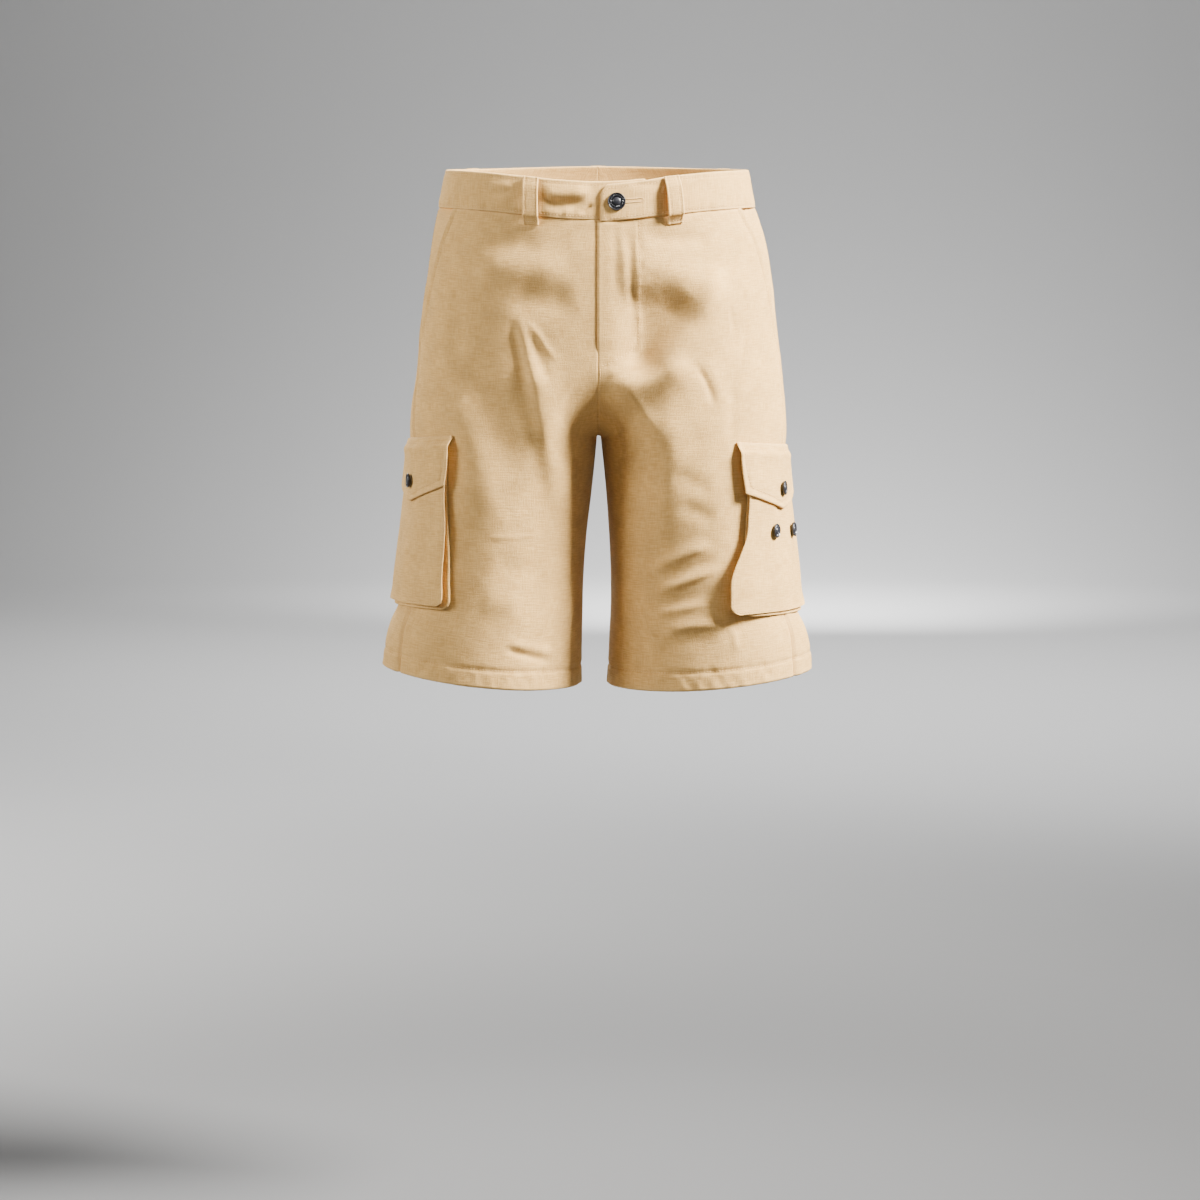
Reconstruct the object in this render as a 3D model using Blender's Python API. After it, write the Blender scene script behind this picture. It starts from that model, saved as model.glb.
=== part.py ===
"""Cargo shorts of cotton canvas, filled out as worn and open at the waist and hems.

Metres, +Z up. +X is the wearer's left and -Y the front. The origin is the centre of the waistband.
Every piece lies on one skin for each half of the garment. A place on a skin is a share of its row,
0 at centre front or inseam and 1 at centre back or inseam, and a drop below the waist seam."""

import math

import bmesh
import bpy
import numpy as np
from mathutils import Matrix

for old in list(bpy.data.objects):
    bpy.data.objects.remove(old)

LEFT, RIGHT = 1, -1

# Cloth thicknesses and the gap that parts neighbouring pieces.
CLOTH = 0.0015
HEM_CLOTH = 0.0026
BAND_CLOTH = 0.0022
FLAP_CLOTH = 0.0018
GAP = 0.0003

# Heights, as drops below the waist seam at the side.
BAND_HEIGHT = 0.0360
FRONT_CURVE, BACK_CURVE = 0.1500, 0.1200
CROTCH_DROP = 0.2285
HEM_DROP = 0.4555
HEM_DEPTH = 0.0180
LEG_START, LEG_FORMED = 0.1000, 0.2900

# Height of the waist seam at the side, how far the rows' ends rise or fall from the side at the
# waist and at the hem, and how far the inseam turns to the front. The left leg hangs a little
# lower outside, and both hems dip a little in front.
SIDE_Z = -0.0165
FRONT_WAIST_RISE = -0.0101
BACK_WAIST_RISE = 0.0025
INSEAM_HEM_RISE = -0.0185
INSEAM_TURN = 0.0080
LEFT_SAG, SAG_START = 0.0045, 0.2000
HEM_DIP, DIP_START = 0.0020, 0.3000

# The body's sizes: half width of each side, depth to the front and back, clearance of each inner
# thigh, squareness of the outline, and how far in front of the middle the side seam runs.
SECTION_COLUMNS = (
    "drop", "out_left", "out_right", "front", "back", "in_left", "in_right", "square", "seam",
)
SECTIONS = (
    (-0.036, 0.1495, 0.1510, 0.1030, 0.0990, 0.0000, 0.0000, 2.20, 0.007),
    (0.000, 0.1560, 0.1580, 0.1065, 0.1030, 0.0000, 0.0000, 2.25, 0.008),
    (0.030, 0.1660, 0.1640, 0.1095, 0.1095, 0.0000, 0.0000, 2.30, 0.010),
    (0.075, 0.1735, 0.1700, 0.1120, 0.1170, 0.0000, 0.0000, 2.35, 0.014),
    (0.120, 0.1780, 0.1765, 0.1120, 0.1215, 0.0000, 0.0000, 2.35, 0.020),
    (0.165, 0.1830, 0.1805, 0.1110, 0.1225, 0.0000, 0.0000, 2.30, 0.028),
    (0.205, 0.1870, 0.1870, 0.1080, 0.1200, 0.0000, 0.0000, 2.18, 0.035),
    (0.2285, 0.1880, 0.1885, 0.1055, 0.1175, 0.0025, 0.0010, 2.10, 0.039),
    (0.250, 0.1858, 0.1872, 0.1038, 0.1150, 0.0050, 0.0030, 2.06, 0.041),
    (0.285, 0.1865, 0.1880, 0.1015, 0.1115, 0.0085, 0.0070, 2.02, 0.043),
    (0.320, 0.1885, 0.1903, 0.0990, 0.1080, 0.0110, 0.0115, 2.00, 0.045),
    (0.360, 0.1918, 0.1938, 0.0965, 0.1045, 0.0130, 0.0145, 1.98, 0.047),
    (0.393, 0.1965, 0.1982, 0.0950, 0.1020, 0.0125, 0.0154, 1.95, 0.048),
    (0.415, 0.2065, 0.2075, 0.0940, 0.1005, 0.0110, 0.0158, 1.95, 0.049),
    (0.435, 0.2110, 0.2125, 0.0932, 0.0995, 0.0100, 0.0160, 1.93, 0.050),
    (0.4555, 0.2130, 0.2150, 0.0925, 0.0985, 0.0085, 0.0162, 1.92, 0.050),
)

# The largest folds, each a soft ridge or, with a height below zero, a trough. It runs from its
# start past its bend to its end, x from the centre of the garment on its own side.
FOLD_COLUMNS = (
    "side", "face", "start_x", "start_z", "bend_x", "bend_z", "end_x", "end_z", "width", "height",
)
FOLDS = (
    (RIGHT, "front", 0.118, -0.072, 0.080, -0.078, 0.034, -0.072, 0.014, 0.0022),
    (RIGHT, "front", 0.082, -0.114, 0.070, -0.140, 0.050, -0.172, 0.010, -0.0026),
    (RIGHT, "front", 0.084, -0.120, 0.074, -0.215, 0.038, -0.330, 0.015, 0.0034),
    (RIGHT, "front", 0.094, -0.165, 0.078, -0.240, 0.046, -0.305, 0.013, -0.0026),
    (RIGHT, "front", 0.036, -0.245, 0.030, -0.360, 0.030, -0.470, 0.017, 0.0026),
    (RIGHT, "back", 0.030, -0.262, 0.080, -0.292, 0.150, -0.262, 0.018, -0.0020),
    (RIGHT, "back", 0.026, -0.300, 0.078, -0.328, 0.140, -0.316, 0.020, 0.0018),
    (RIGHT, "back", 0.094, -0.300, 0.098, -0.380, 0.090, -0.470, 0.024, 0.0022),
    (LEFT, "front", 0.040, -0.044, 0.076, -0.048, 0.116, -0.044, 0.010, -0.0018),
    (LEFT, "front", 0.036, -0.074, 0.080, -0.080, 0.124, -0.072, 0.017, 0.0020),
    (LEFT, "front", 0.034, -0.103, 0.070, -0.108, 0.108, -0.098, 0.011, -0.0022),
    (LEFT, "front", 0.006, -0.202, 0.034, -0.194, 0.076, -0.156, 0.009, 0.0032),
    (LEFT, "front", 0.014, -0.216, 0.040, -0.212, 0.070, -0.192, 0.012, -0.0026),
    (LEFT, "front", 0.076, -0.190, 0.072, -0.290, 0.078, -0.390, 0.020, 0.0024),
    (LEFT, "front", 0.034, -0.240, 0.036, -0.330, 0.040, -0.430, 0.020, -0.0020),
    (LEFT, "back", 0.036, -0.256, 0.085, -0.288, 0.156, -0.270, 0.017, -0.0019),
    (LEFT, "back", 0.030, -0.306, 0.090, -0.336, 0.146, -0.310, 0.019, 0.0018),
    (LEFT, "back", 0.084, -0.320, 0.090, -0.390, 0.102, -0.470, 0.022, 0.0021),
)

# Waistband and fly, as distances from centre front towards the wearer's left.
BAND_PROUD = 0.0007
LAP_EDGE = 0.0030
LAP_PROUD = 0.0019
LAP_END = 0.0640
LAP_SAG_TOP = 0.0035
LAP_SAG_BOTTOM = 0.0020
LAP_CORNER_WIDTH = 0.0050
LAP_CORNER_HEIGHT = 0.0080
LAP_COLUMNS = (LAP_EDGE, LAP_EDGE + LAP_CORNER_WIDTH, 0.018, 0.032, 0.046, 0.055, LAP_END)
UNDERLAP_REACH = 0.0460
UNDERLAP_SUNK = -0.0006
UNDERLAP_COLUMNS = (-UNDERLAP_REACH, -0.030, -0.016, -0.003, 0.014, 0.030, 0.047, LAP_END)
FLY_DROP = 0.1400
FLY_PROUD = 0.0018
FLY_WIDTH = 0.0340
FLY_UNDER = 0.0060
ZIP_SPAN = (0.0080, 0.0340)
ZIP_CLOTH = 0.0010
ZIP_DROP = 0.1280
SHIELD_SPAN = (-0.0100, 0.0420)

# Slanted hip pocket mouth: how far it starts in front of the side seam, and its drop.
MOUTH_WIDTH = 0.0480
MOUTH_DROP = 0.1350
FACING_UNDER = 0.0220
FACING_DROP = 0.1560

# Belt loops: where the middle of each stands, from centre front or centre back, how far its
# lower end leans, and how far it stands off the waistband.
LOOP_WIDTH = 0.0140
LOOP_CLOTH = 0.0016
LOOP_COLUMNS = ("name", "from", "distance", "lean", "stand")
LOOPS = (
    ("loop_front_right", "front", -0.0655, 0.0000, 0.0036),
    ("loop_front_left", "front", 0.0720, 0.0040, 0.0068),
    ("loop_side_right", "back", -0.1350, 0.0000, 0.0050),
    ("loop_side_left", "back", 0.1350, 0.0000, 0.0050),
    ("loop_back", "back", 0.0000, 0.0000, 0.0068),
)
# A loop's course: drops below the waist seam, and the share of its stand reached there.
LOOP_COURSE_COLUMNS = ("drop", "share")
LOOP_COURSE = (
    (-0.0365, 0.00),
    (-0.0335, 0.02),
    (-0.0312, 0.48),
    (-0.0265, 0.84),
    (-0.0130, 1.00),
    (0.0000, 0.92),
    (0.0040, 0.62),
    (0.0064, 0.05),
    (0.0095, 0.00),
)

# Cargo pockets on the side seam. Positions on one are a distance behind its centre line and a
# distance down from the flap's seam. The front edge of the left one spreads forwards towards the
# bottom, and that of the right one draws back. The shift is that of the centre line from the
# side seam, and the tilt how far the pocket falls towards the back.
POCKET_COLUMNS = ("side", "flap_drop", "length", "front", "front_inset", "shift", "tilt")
POCKETS = (
    (LEFT, 0.2340, 0.1610, 0.0510, -0.0160, -0.0050, 0.0800),
    (RIGHT, 0.2285, 0.1640, 0.0585, 0.0070, 0.0000, 0.0900),
)
POCKET_REAR = 0.0600
POCKET_MOUTH = 0.0130
POCKET_CORNER = 0.0090
POCKET_STAND_TOP = 0.0018
POCKET_STAND_BOTTOM = 0.0036
POCKET_STAND_EDGE = 0.0066
REAR_INSET = 0.0050
BASE_INSET = 0.0030
INSET_START, INSET_SPREAD = 0.4800, 0.3400
GUSSET_CLOTH = 0.0018
GUSSET_SEAM = 0.0013
GUSSET_FOLD_COLUMNS = ("inwards", "rise")
GUSSET_FOLDS = ((0.0, 0.0), (0.55, 0.45), (1.0, 1.0))
EDGE_ROWS, CORNER_ROWS, BASE_COLUMNS = 8, 4, 7
POCKET_ACROSS = 12
FLAP_ROWS = (0.0, 0.08, 0.17, 0.30, 0.60, 1.0)
FLAP_ACROSS = 13
FLAP_HALF = 0.0645
FLAP_TAPER = 0.0080
FLAP_CLEAR = 0.0006
FLAP_SIDE = 0.0465
FLAP_POINT = 0.0602

# Buttons.
WAIST_BUTTON = 0.0175
SMALL_BUTTON = 0.0140
BUTTON_HEIGHT = 0.0030
SHANK, SHANK_RADIUS = 0.0012, 0.0020
WAIST_SHANK_RADIUS = 0.0008
# A button's outline: shares of its radius, and of its height above the shank.
BUTTON_COLUMNS = ("radius", "rise")
BUTTON_PROFILE = (
    (0.86, 0.00),
    (1.00, 0.35),
    (0.97, 0.80),
    (0.86, 1.00),
    (0.72, 0.76),
    (0.00, 0.90),
)
WAIST_BUTTON_AT = (0.0180, -0.0165)
BUTTONHOLE_LENGTH = 0.0220
BUTTONHOLE_HEIGHT = 0.0022
BUTTONHOLE_END = 0.0060
FLAP_BUTTON_DOWN = 0.0414
POCKET_BUTTON_DOWN = 0.0815
POCKET_BUTTON_AT = (-0.0130, 0.0320)

# Rows and columns of the skins, with more rows towards the foot of the crotch curve, and how far
# out their guides run, the lines down the middle of a panel.
CROTCH_ROWS = np.sin(np.radians(np.linspace(0, 90, 61)[1:]))
SKIN_DROPS = np.concatenate([
    np.linspace(-BAND_HEIGHT - 0.004, BACK_CURVE, 96),
    BACK_CURVE + (CROTCH_DROP - BACK_CURVE) * CROTCH_ROWS,
    np.linspace(CROTCH_DROP, HEM_DROP, 138)[1:],
])
SKIN_COLUMNS = 301
GUIDE = 0.0850


def smooth(x):
    """Rises from 0 to 1 as x does, with level ends."""
    x = np.clip(x, 0.0, 1.0)
    return x * x * (3.0 - 2.0 * x)


def section(column, drop):
    """A size of the body at a drop, on a smooth curve through the rows of SECTIONS."""
    rows = np.array(SECTIONS)
    drops, sizes = rows[:, 0], rows[:, SECTION_COLUMNS.index(column)]
    slopes = np.gradient(sizes, drops)
    low = np.clip(np.searchsorted(drops, drop) - 1, 0, len(drops) - 2)
    step = drops[low + 1] - drops[low]
    x = np.clip((drop - drops[low]) / step, 0.0, 1.0)
    lower = sizes[low] * (1 + 2 * x) * (1 - x) ** 2 + slopes[low] * step * x * (1 - x) ** 2
    upper = sizes[low + 1] * x**2 * (3 - 2 * x) + slopes[low + 1] * step * x**2 * (x - 1)
    return lower + upper


def evenly(points, count, turn):
    """The curve through points, as count points at even steps along it. A closed one can be
    turned, so that it starts and ends a distance further on."""
    steps = np.linalg.norm(np.diff(points, axis=0), axis=1)
    along = np.concatenate([[0.0], np.cumsum(steps)])
    places = np.linspace(0.0, along[-1], count)
    if turn > 0:
        places = (places + turn) % along[-1]
    return np.stack([np.interp(places, along, points[:, k]) for k in range(2)], axis=1)


def notch_share(drop, start):
    """How far out a row still ends: 1 above the crotch curve, round it, and 0 at the inseam."""
    return math.cos(math.asin(np.clip((drop - start) / (CROTCH_DROP - start), 0.0, 1.0)))


def half_plan(drop, out, inner, crest, depth, square, curve):
    """Front or back half of a row's plan, from its end at centre front or the inseam, straight to
    where the cloth meets the thigh, over the crest of the thigh and round to the side."""
    notch = notch_share(drop, curve)
    thigh = np.linspace(2 * math.atan(notch), math.pi / 2, 400)
    side = np.linspace(math.pi / 2, 0.0, 600)
    x = np.concatenate([
        [inner],
        crest - (crest - inner) * np.cos(thigh),
        crest + (out - crest) * np.cos(side) ** (2 / square),
    ])
    y = depth * np.concatenate([[notch], np.sin(thigh), np.sin(side) ** (2 / square)])
    return np.stack([x, y], axis=1)


def row_plan(side, drop):
    """Plan of one row: half the body above the crotch curve, a whole leg below it."""
    word = "left" if side == LEFT else "right"
    out, inner = section(f"out_{word}", drop), max(section(f"in_{word}", drop), 0.0)
    if drop < CROTCH_DROP:
        inner = 0.0
    square = section("square", drop)
    crest = (out + inner) / 2 * smooth((drop - LEG_START) / (LEG_FORMED - LEG_START))
    front = half_plan(drop, out, inner, crest, section("front", drop), square, FRONT_CURVE)
    back = half_plan(drop, out, inner, crest, section("back", drop), square, BACK_CURVE)
    plan = np.concatenate([front * (1, -1), back[::-1]])
    return evenly(plan, SKIN_COLUMNS, INSEAM_TURN * smooth((drop - CROTCH_DROP) / 0.2))


def row_heights(side, drop):
    """Heights along one row, level at the side and rising or falling to its two ends."""
    share = np.linspace(0.0, 1.0, SKIN_COLUMNS)
    power = 4.0 - 2.0 * smooth(drop / BACK_CURVE)
    waist_rise = np.where(share < 0.5, FRONT_WAIST_RISE, BACK_WAIST_RISE)
    above, below = np.clip(drop / CROTCH_DROP, 0.0, 2.0), drop - CROTCH_DROP
    rise = waist_rise * max(1.0 - above, 0.0)
    rise = rise + INSEAM_HEM_RISE * max(below, 0.0) / (HEM_DROP - CROTCH_DROP)
    sag = LEFT_SAG * smooth((drop - SAG_START) / 0.2) if side == LEFT else 0.0
    bow = np.sin(np.clip(share / 0.45, 0.0, 1.0) * math.pi) ** 2
    dip = HEM_DIP * smooth((drop - DIP_START) / (HEM_DROP - DIP_START)) * bow
    pull = np.abs(np.cos(math.pi * share)) ** power
    return SIDE_Z - drop - dip - sag * (1.0 - pull) + rise * pull


def unit(vectors):
    """The vectors at length 1."""
    return vectors / np.maximum(np.linalg.norm(vectors, axis=-1, keepdims=True), 1e-12)


def across_from(row, points, along, spacing):
    """Points of a row that lie straight across from points of the row beside it."""
    column = np.arange(len(row), dtype=float)
    for _ in range(4):
        low = np.minimum(column.astype(int), len(row) - 2)
        part = (column - low)[:, None]
        met = row[low] * (1 - part) + row[low + 1] * part
        ahead = ((met - points) * along).sum(axis=1) / spacing
        column = np.clip(column - ahead, 0.0, len(row) - 1.0)
    return met


def facing_out(points, side):
    """Outward normals of a grid of rows that run down, each from front to back."""
    along = unit(np.gradient(points, axis=1))
    spacing = np.linalg.norm(np.diff(points, axis=1), axis=2).mean(axis=1)
    normals = np.zeros(points.shape)
    last = len(points) - 1
    for r, row in enumerate(points):
        above, below = max(r - 1, 0), min(r + 1, last)
        upper = across_from(points[above], row, along[r], spacing[above])
        lower = across_from(points[below], row, along[r], spacing[below])
        normals[r] = np.cross(lower - upper, along[r]) * side
    return unit(normals)


def fold_heights(points, normals, side):
    """How far the folds of one side lift each point of its skin."""
    total = np.zeros(points.shape[:2])
    for fold in FOLDS:
        row = dict(zip(FOLD_COLUMNS, fold))
        if row["side"] != side:
            continue
        t = np.linspace(0.0, 1.0, 25)
        weights = ((1 - t) ** 2, 2 * t * (1 - t), t**2)
        course = [
            sum(w * row[f"{place}_{axis}"] for w, place in zip(weights, ("start", "bend", "end")))
            for axis in "xz"
        ]
        across = np.abs(points[..., 0, None]) - course[0]
        up = points[..., 2, None] - course[1]
        distance = np.hypot(across, up)
        nearest = distance.argmin(axis=-1)
        fade = np.sin(math.pi * t[nearest]) ** 0.7
        towards = -normals[..., 1] if row["face"] == "front" else normals[..., 1]
        shape = np.exp(-((distance.min(axis=-1) / row["width"]) ** 2))
        total += row["height"] * shape * fade * smooth(towards / 0.45)
    return total


def place_shares(plan, seam_depth):
    """Shares of a row at which its guides and its side seam lie."""
    share = np.linspace(0.0, 1.0, SKIN_COLUMNS)
    outermost = plan[:, 0].argmax()
    before, after = plan[:outermost + 1, 0], plan[:outermost - 1:-1, 0]
    near_side = plan[:, 0] > plan[outermost, 0] * 0.75
    return (
        np.interp(GUIDE, np.maximum.accumulate(before), share[:outermost + 1]),
        np.interp(-seam_depth, plan[near_side, 1], share[near_side]),
        np.interp(GUIDE, np.maximum.accumulate(after), share[:outermost - 1:-1]),
    )


def make_skin(side):
    """One half of the garment as a fine grid of points and normals, with its folds."""
    plans = np.stack([row_plan(side, drop) for drop in SKIN_DROPS])
    heights = np.stack([row_heights(side, drop) for drop in SKIN_DROPS])
    points = np.dstack([(plans[..., 0] + GAP / 2) * side, plans[..., 1], heights])
    normals = facing_out(points, side)
    points += normals * fold_heights(points, normals, side)[..., None]
    points[..., 0] = np.maximum(points[..., 0] * side, GAP / 2) * side
    normals = facing_out(points, side)
    leg = SKIN_DROPS >= CROTCH_DROP
    shared = unit(normals[leg, 0] + normals[leg, -1])
    normals[leg, 0], normals[leg, -1] = shared, shared
    lengths = np.linalg.norm(np.diff(points, axis=1), axis=2).sum(axis=1)
    shares = [place_shares(plan, section("seam", drop)) for plan, drop in zip(plans, SKIN_DROPS)]
    front_guide, seam, back_guide = np.transpose(shares)
    return {
        "points": points, "normals": normals, "length": lengths,
        "front_guide": front_guide, "seam": seam, "back_guide": back_guide,
    }


SKINS = {side: make_skin(side) for side in (LEFT, RIGHT)}


def along_row(side, what, drop):
    """A row's length, or the share of it at which the side seam or a guide lies."""
    return np.interp(drop, SKIN_DROPS, SKINS[side][what])


def row_length(side, drop):
    """Length of a row from its front end to its back end."""
    return along_row(side, "length", drop)


def on_skin(side, share, drop, lift):
    """Points of one skin, moved out along its normals by lift."""
    skin = SKINS[side]
    share, drop, lift = np.broadcast_arrays(share, drop, lift)
    row = np.interp(drop, SKIN_DROPS, np.arange(len(SKIN_DROPS)))
    column = np.clip(share, 0.0, 1.0) * (SKIN_COLUMNS - 1)
    r = np.minimum(row.astype(int), len(SKIN_DROPS) - 2)
    c = np.minimum(column.astype(int), SKIN_COLUMNS - 2)
    down, along = (row - r)[..., None], (column - c)[..., None]

    def between(grid):
        upper = grid[r, c] * (1 - along) + grid[r, c + 1] * along
        lower = grid[r + 1, c] * (1 - along) + grid[r + 1, c + 1] * along
        return upper * (1 - down) + lower * down

    return between(skin["points"]) + unit(between(skin["normals"])) * lift[..., None]


def from_front(distance, drop, lift):
    """Points at a distance from centre front, above zero on the wearer's left."""
    distance, drop, lift = np.broadcast_arrays(distance, drop, lift)
    sides = [
        on_skin(side, np.abs(distance) / row_length(side, drop), drop, lift)
        for side in (LEFT, RIGHT)
    ]
    return np.where((distance > 0)[..., None], sides[0], sides[1])


def from_back(distance, drop, lift):
    """Points at a distance from centre back, above zero on the wearer's left."""
    distance, drop, lift = np.broadcast_arrays(distance, drop, lift)
    sides = [
        on_skin(side, 1.0 - np.abs(distance) / row_length(side, drop), drop, lift)
        for side in (LEFT, RIGHT)
    ]
    return np.where((distance > 0)[..., None], sides[0], sides[1])


def on_pocket(pocket, behind, down, lift):
    """Points over a cargo pocket, a distance behind its centre line and down from its flap seam."""
    behind, down, lift = np.broadcast_arrays(behind, down, lift)
    side = pocket["side"]
    drop = pocket["flap_drop"] + down + pocket["tilt"] * behind
    share = along_row(side, "seam", drop) + (behind + pocket["shift"]) / row_length(side, drop)
    return on_skin(side, share, drop, lift)


def material(name, colour, roughness, metallic=0.0):
    """A plain finish."""
    made = bpy.data.materials.new(name)
    made.use_nodes = True
    shader = made.node_tree.nodes["Principled BSDF"]
    shader.inputs["Base Color"].default_value = (*colour, 1.0)
    shader.inputs["Roughness"].default_value = roughness
    shader.inputs["Metallic"].default_value = metallic
    made.diffuse_color = (*colour, 1.0)
    return made


CANVAS = material("sand_canvas", (0.66, 0.47, 0.27), 0.9)
TAPE = material("zip_tape", (0.55, 0.38, 0.20), 0.7)
BLACK = material("black_button", (0.012, 0.012, 0.014), 0.35)


def add_object(name, mesh, finish):
    """Puts a mesh in the scene as one named piece."""
    mesh.materials.append(finish)
    piece = bpy.data.objects.new(name, mesh)
    bpy.context.scene.collection.objects.link(piece)
    return piece


def add_wall(name, outer, inner, finish=CANVAS):
    """A closed wall between two grids of points, the outer and the inner face of the cloth."""
    rows, columns = outer.shape[:2]
    build = bmesh.new()
    faces = [[[build.verts.new(point) for point in row] for row in grid] for grid in (outer, inner)]
    top, under = faces
    for r in range(rows - 1):
        for c in range(columns - 1):
            for grid in faces:
                build.faces.new((grid[r][c], grid[r][c + 1], grid[r + 1][c + 1], grid[r + 1][c]))
    rim = [(0, c) for c in range(columns)]
    rim += [(r, columns - 1) for r in range(1, rows)]
    rim += [(rows - 1, c) for c in range(columns - 2, -1, -1)]
    rim += [(r, 0) for r in range(rows - 2, -1, -1)]
    for (r, c), (next_r, next_c) in zip(rim, rim[1:]):
        build.faces.new((top[r][c], top[next_r][next_c], under[next_r][next_c], under[r][c]))
    bmesh.ops.remove_doubles(build, verts=build.verts, dist=1e-6)
    bmesh.ops.recalc_face_normals(build, faces=build.faces)
    mesh = bpy.data.meshes.new(name)
    build.to_mesh(mesh)
    build.free()
    mesh.shade_smooth()
    mesh.set_sharp_from_angle(angle=math.radians(50))
    return add_object(name, mesh, finish)


# Rows of the body panels, closer towards the foot of the crotch curve.
CROTCH_STEPS = np.sin(np.radians(np.linspace(0, 90, 9)))
PANEL_DROPS = np.concatenate([
    np.linspace(GAP, BACK_CURVE, 8)[:-1],
    BACK_CURVE + (CROTCH_DROP - BACK_CURVE) * CROTCH_STEPS[:-1],
    np.linspace(CROTCH_DROP, HEM_DROP - HEM_DEPTH, 12)[:-1],
    [HEM_DROP - HEM_DEPTH, HEM_DROP - HEM_DEPTH + 0.001, HEM_DROP],
])
# Columns of a front and a back by their distance from the centre, those that run on past the
# centre round the inner thigh, and how many more reach from the guide to the side seam.
FRONT_CENTRE = np.array([0.0, 0.007, 0.014, 0.023, 0.034, 0.059])
BACK_CENTRE = np.array([0.0, 0.017, 0.034, 0.059])
THIGH_COLUMNS = np.array([0.066, 0.044, 0.022])
FRONT_COLUMNS = 10
BACK_COLUMNS = 8
BAND_ROWS, BAND_COLUMNS = 4, 22


def inner_distances(side, guide_name, curve, centre, drop):
    """Distances from a row's end of the columns between it and the guide. Above the crotch curve
    those of the inner thigh have not begun and lie at the end."""
    guide = end_distance(side, guide_name, drop)
    at_curve = end_distance(side, guide_name, curve)
    if drop <= curve:
        return np.concatenate([np.zeros(len(THIGH_COLUMNS)), centre * guide / at_curve])
    beyond = np.concatenate([-THIGH_COLUMNS, centre])
    distance = guide - at_curve + beyond
    distance[distance < 0.004] = 0.0
    distance[0] = 0.0
    return distance


def end_distance(side, guide_name, drop):
    """Distance along a row from its nearer end to a guide."""
    share = along_row(side, guide_name, drop)
    return min(share, 1.0 - share) * row_length(side, drop)


def lap_sag(distance, sag, reach):
    """How far the overlapping end of the waistband hangs below its line."""
    return sag * np.clip(1.0 - distance / reach, 0.0, 1.0)


def mouth_distance(drop):
    """Distance of the hip pocket's mouth in front of the side seam, straight between panel rows."""
    at_rows = np.where(
        PANEL_DROPS < MOUTH_DROP - 0.010, MOUTH_WIDTH * (1.0 - PANEL_DROPS / MOUTH_DROP), GAP / 2
    )
    return np.interp(drop, PANEL_DROPS, at_rows)


def panel_cloth(drop):
    """Thickness of a body panel, doubled where the hem is turned up."""
    return np.where(drop > HEM_DROP - HEM_DEPTH + 0.0005, HEM_CLOTH, CLOTH)


def front_distances(side):
    """Distance of each column of a front panel from centre front, row by row."""
    rows = []
    for drop in PANEL_DROPS:
        inner = inner_distances(side, "front_guide", FRONT_CURVE, FRONT_CENTRE, drop)
        if side == RIGHT and drop < FLY_DROP:
            inner[inner == 0] = -FLY_UNDER * smooth((FLY_DROP - 0.022 - drop) / 0.014)
        guide = end_distance(side, "front_guide", drop)
        edge = along_row(side, "seam", drop) * row_length(side, drop) - mouth_distance(drop)
        rows.append(np.concatenate([inner, np.linspace(guide, edge, FRONT_COLUMNS)]))
    return np.array(rows)


def add_front(side, name):
    """A front: fly edge and crotch curve at the centre, pocket mouth and side seam outside."""
    distance = front_distances(side)
    drop = np.repeat(PANEL_DROPS[:, None], distance.shape[1], axis=1)
    proud = np.zeros(distance.shape)
    if side == LEFT:
        proud = FLY_PROUD * smooth(1.0 - (distance - 0.008) / (FLY_WIDTH - 0.008))
        proud *= smooth((FLY_DROP - drop) / 0.02)
        drop[0] += lap_sag(distance[0], LAP_SAG_BOTTOM, 0.05)
    else:
        proud = UNDERLAP_SUNK * smooth(1.0 - distance / 0.004) * smooth((FLY_DROP - drop) / 0.02)
    grids = []
    for lift in (proud, proud - panel_cloth(drop)):
        grids.append(from_front(np.where(distance == 0, GAP / 10, distance) * side, drop, lift))
    return add_wall(name, *grids)


def add_back(side, name):
    """A back: side seam outside, centre back seam and crotch curve at the centre."""
    rows = []
    for drop in PANEL_DROPS:
        length = row_length(side, drop)
        inner = inner_distances(side, "back_guide", BACK_CURVE, BACK_CENTRE, drop)
        edge = (1.0 - along_row(side, "seam", drop)) * length - GAP / 2
        outer = np.linspace(end_distance(side, "back_guide", drop), edge, BACK_COLUMNS)
        rows.append(1.0 - np.concatenate([inner, outer]) / length)
    share = np.array(rows)
    drop = np.repeat(PANEL_DROPS[:, None], share.shape[1], axis=1)
    cloth = panel_cloth(drop)
    return add_wall(name, on_skin(side, share, drop, 0.0), on_skin(side, share, drop, -cloth))


def add_facing(side, name):
    """The facing behind a hip pocket's mouth, sewn into the side seam behind it."""
    drops = PANEL_DROPS[PANEL_DROPS < FACING_DROP]
    mouth = mouth_distance(drops)
    is_open = mouth > GAP
    ahead = np.array([
        np.concatenate([
            np.linspace(m + FACING_UNDER, m + 0.001, 3), np.linspace(m - 0.001, GAP / 2, 5)
        ]) if m > GAP else np.linspace(FACING_UNDER, 0.0018, 8)
        for m in mouth
    ])
    rise = np.clip(1.0 - ahead / np.clip(mouth[:, None] * 0.6, GAP, 0.020), 0.0, 1.0)
    lift = -(CLOTH + 2.5 * GAP) * np.where(is_open[:, None], 1.0 - smooth(rise), 1.2)
    drop = np.repeat(drops[:, None], ahead.shape[1], axis=1)
    share = along_row(side, "seam", drop) - ahead / row_length(side, drop)
    return add_wall(
        name, on_skin(side, share, drop, lift), on_skin(side, share, drop, lift - CLOTH)
    )


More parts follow.
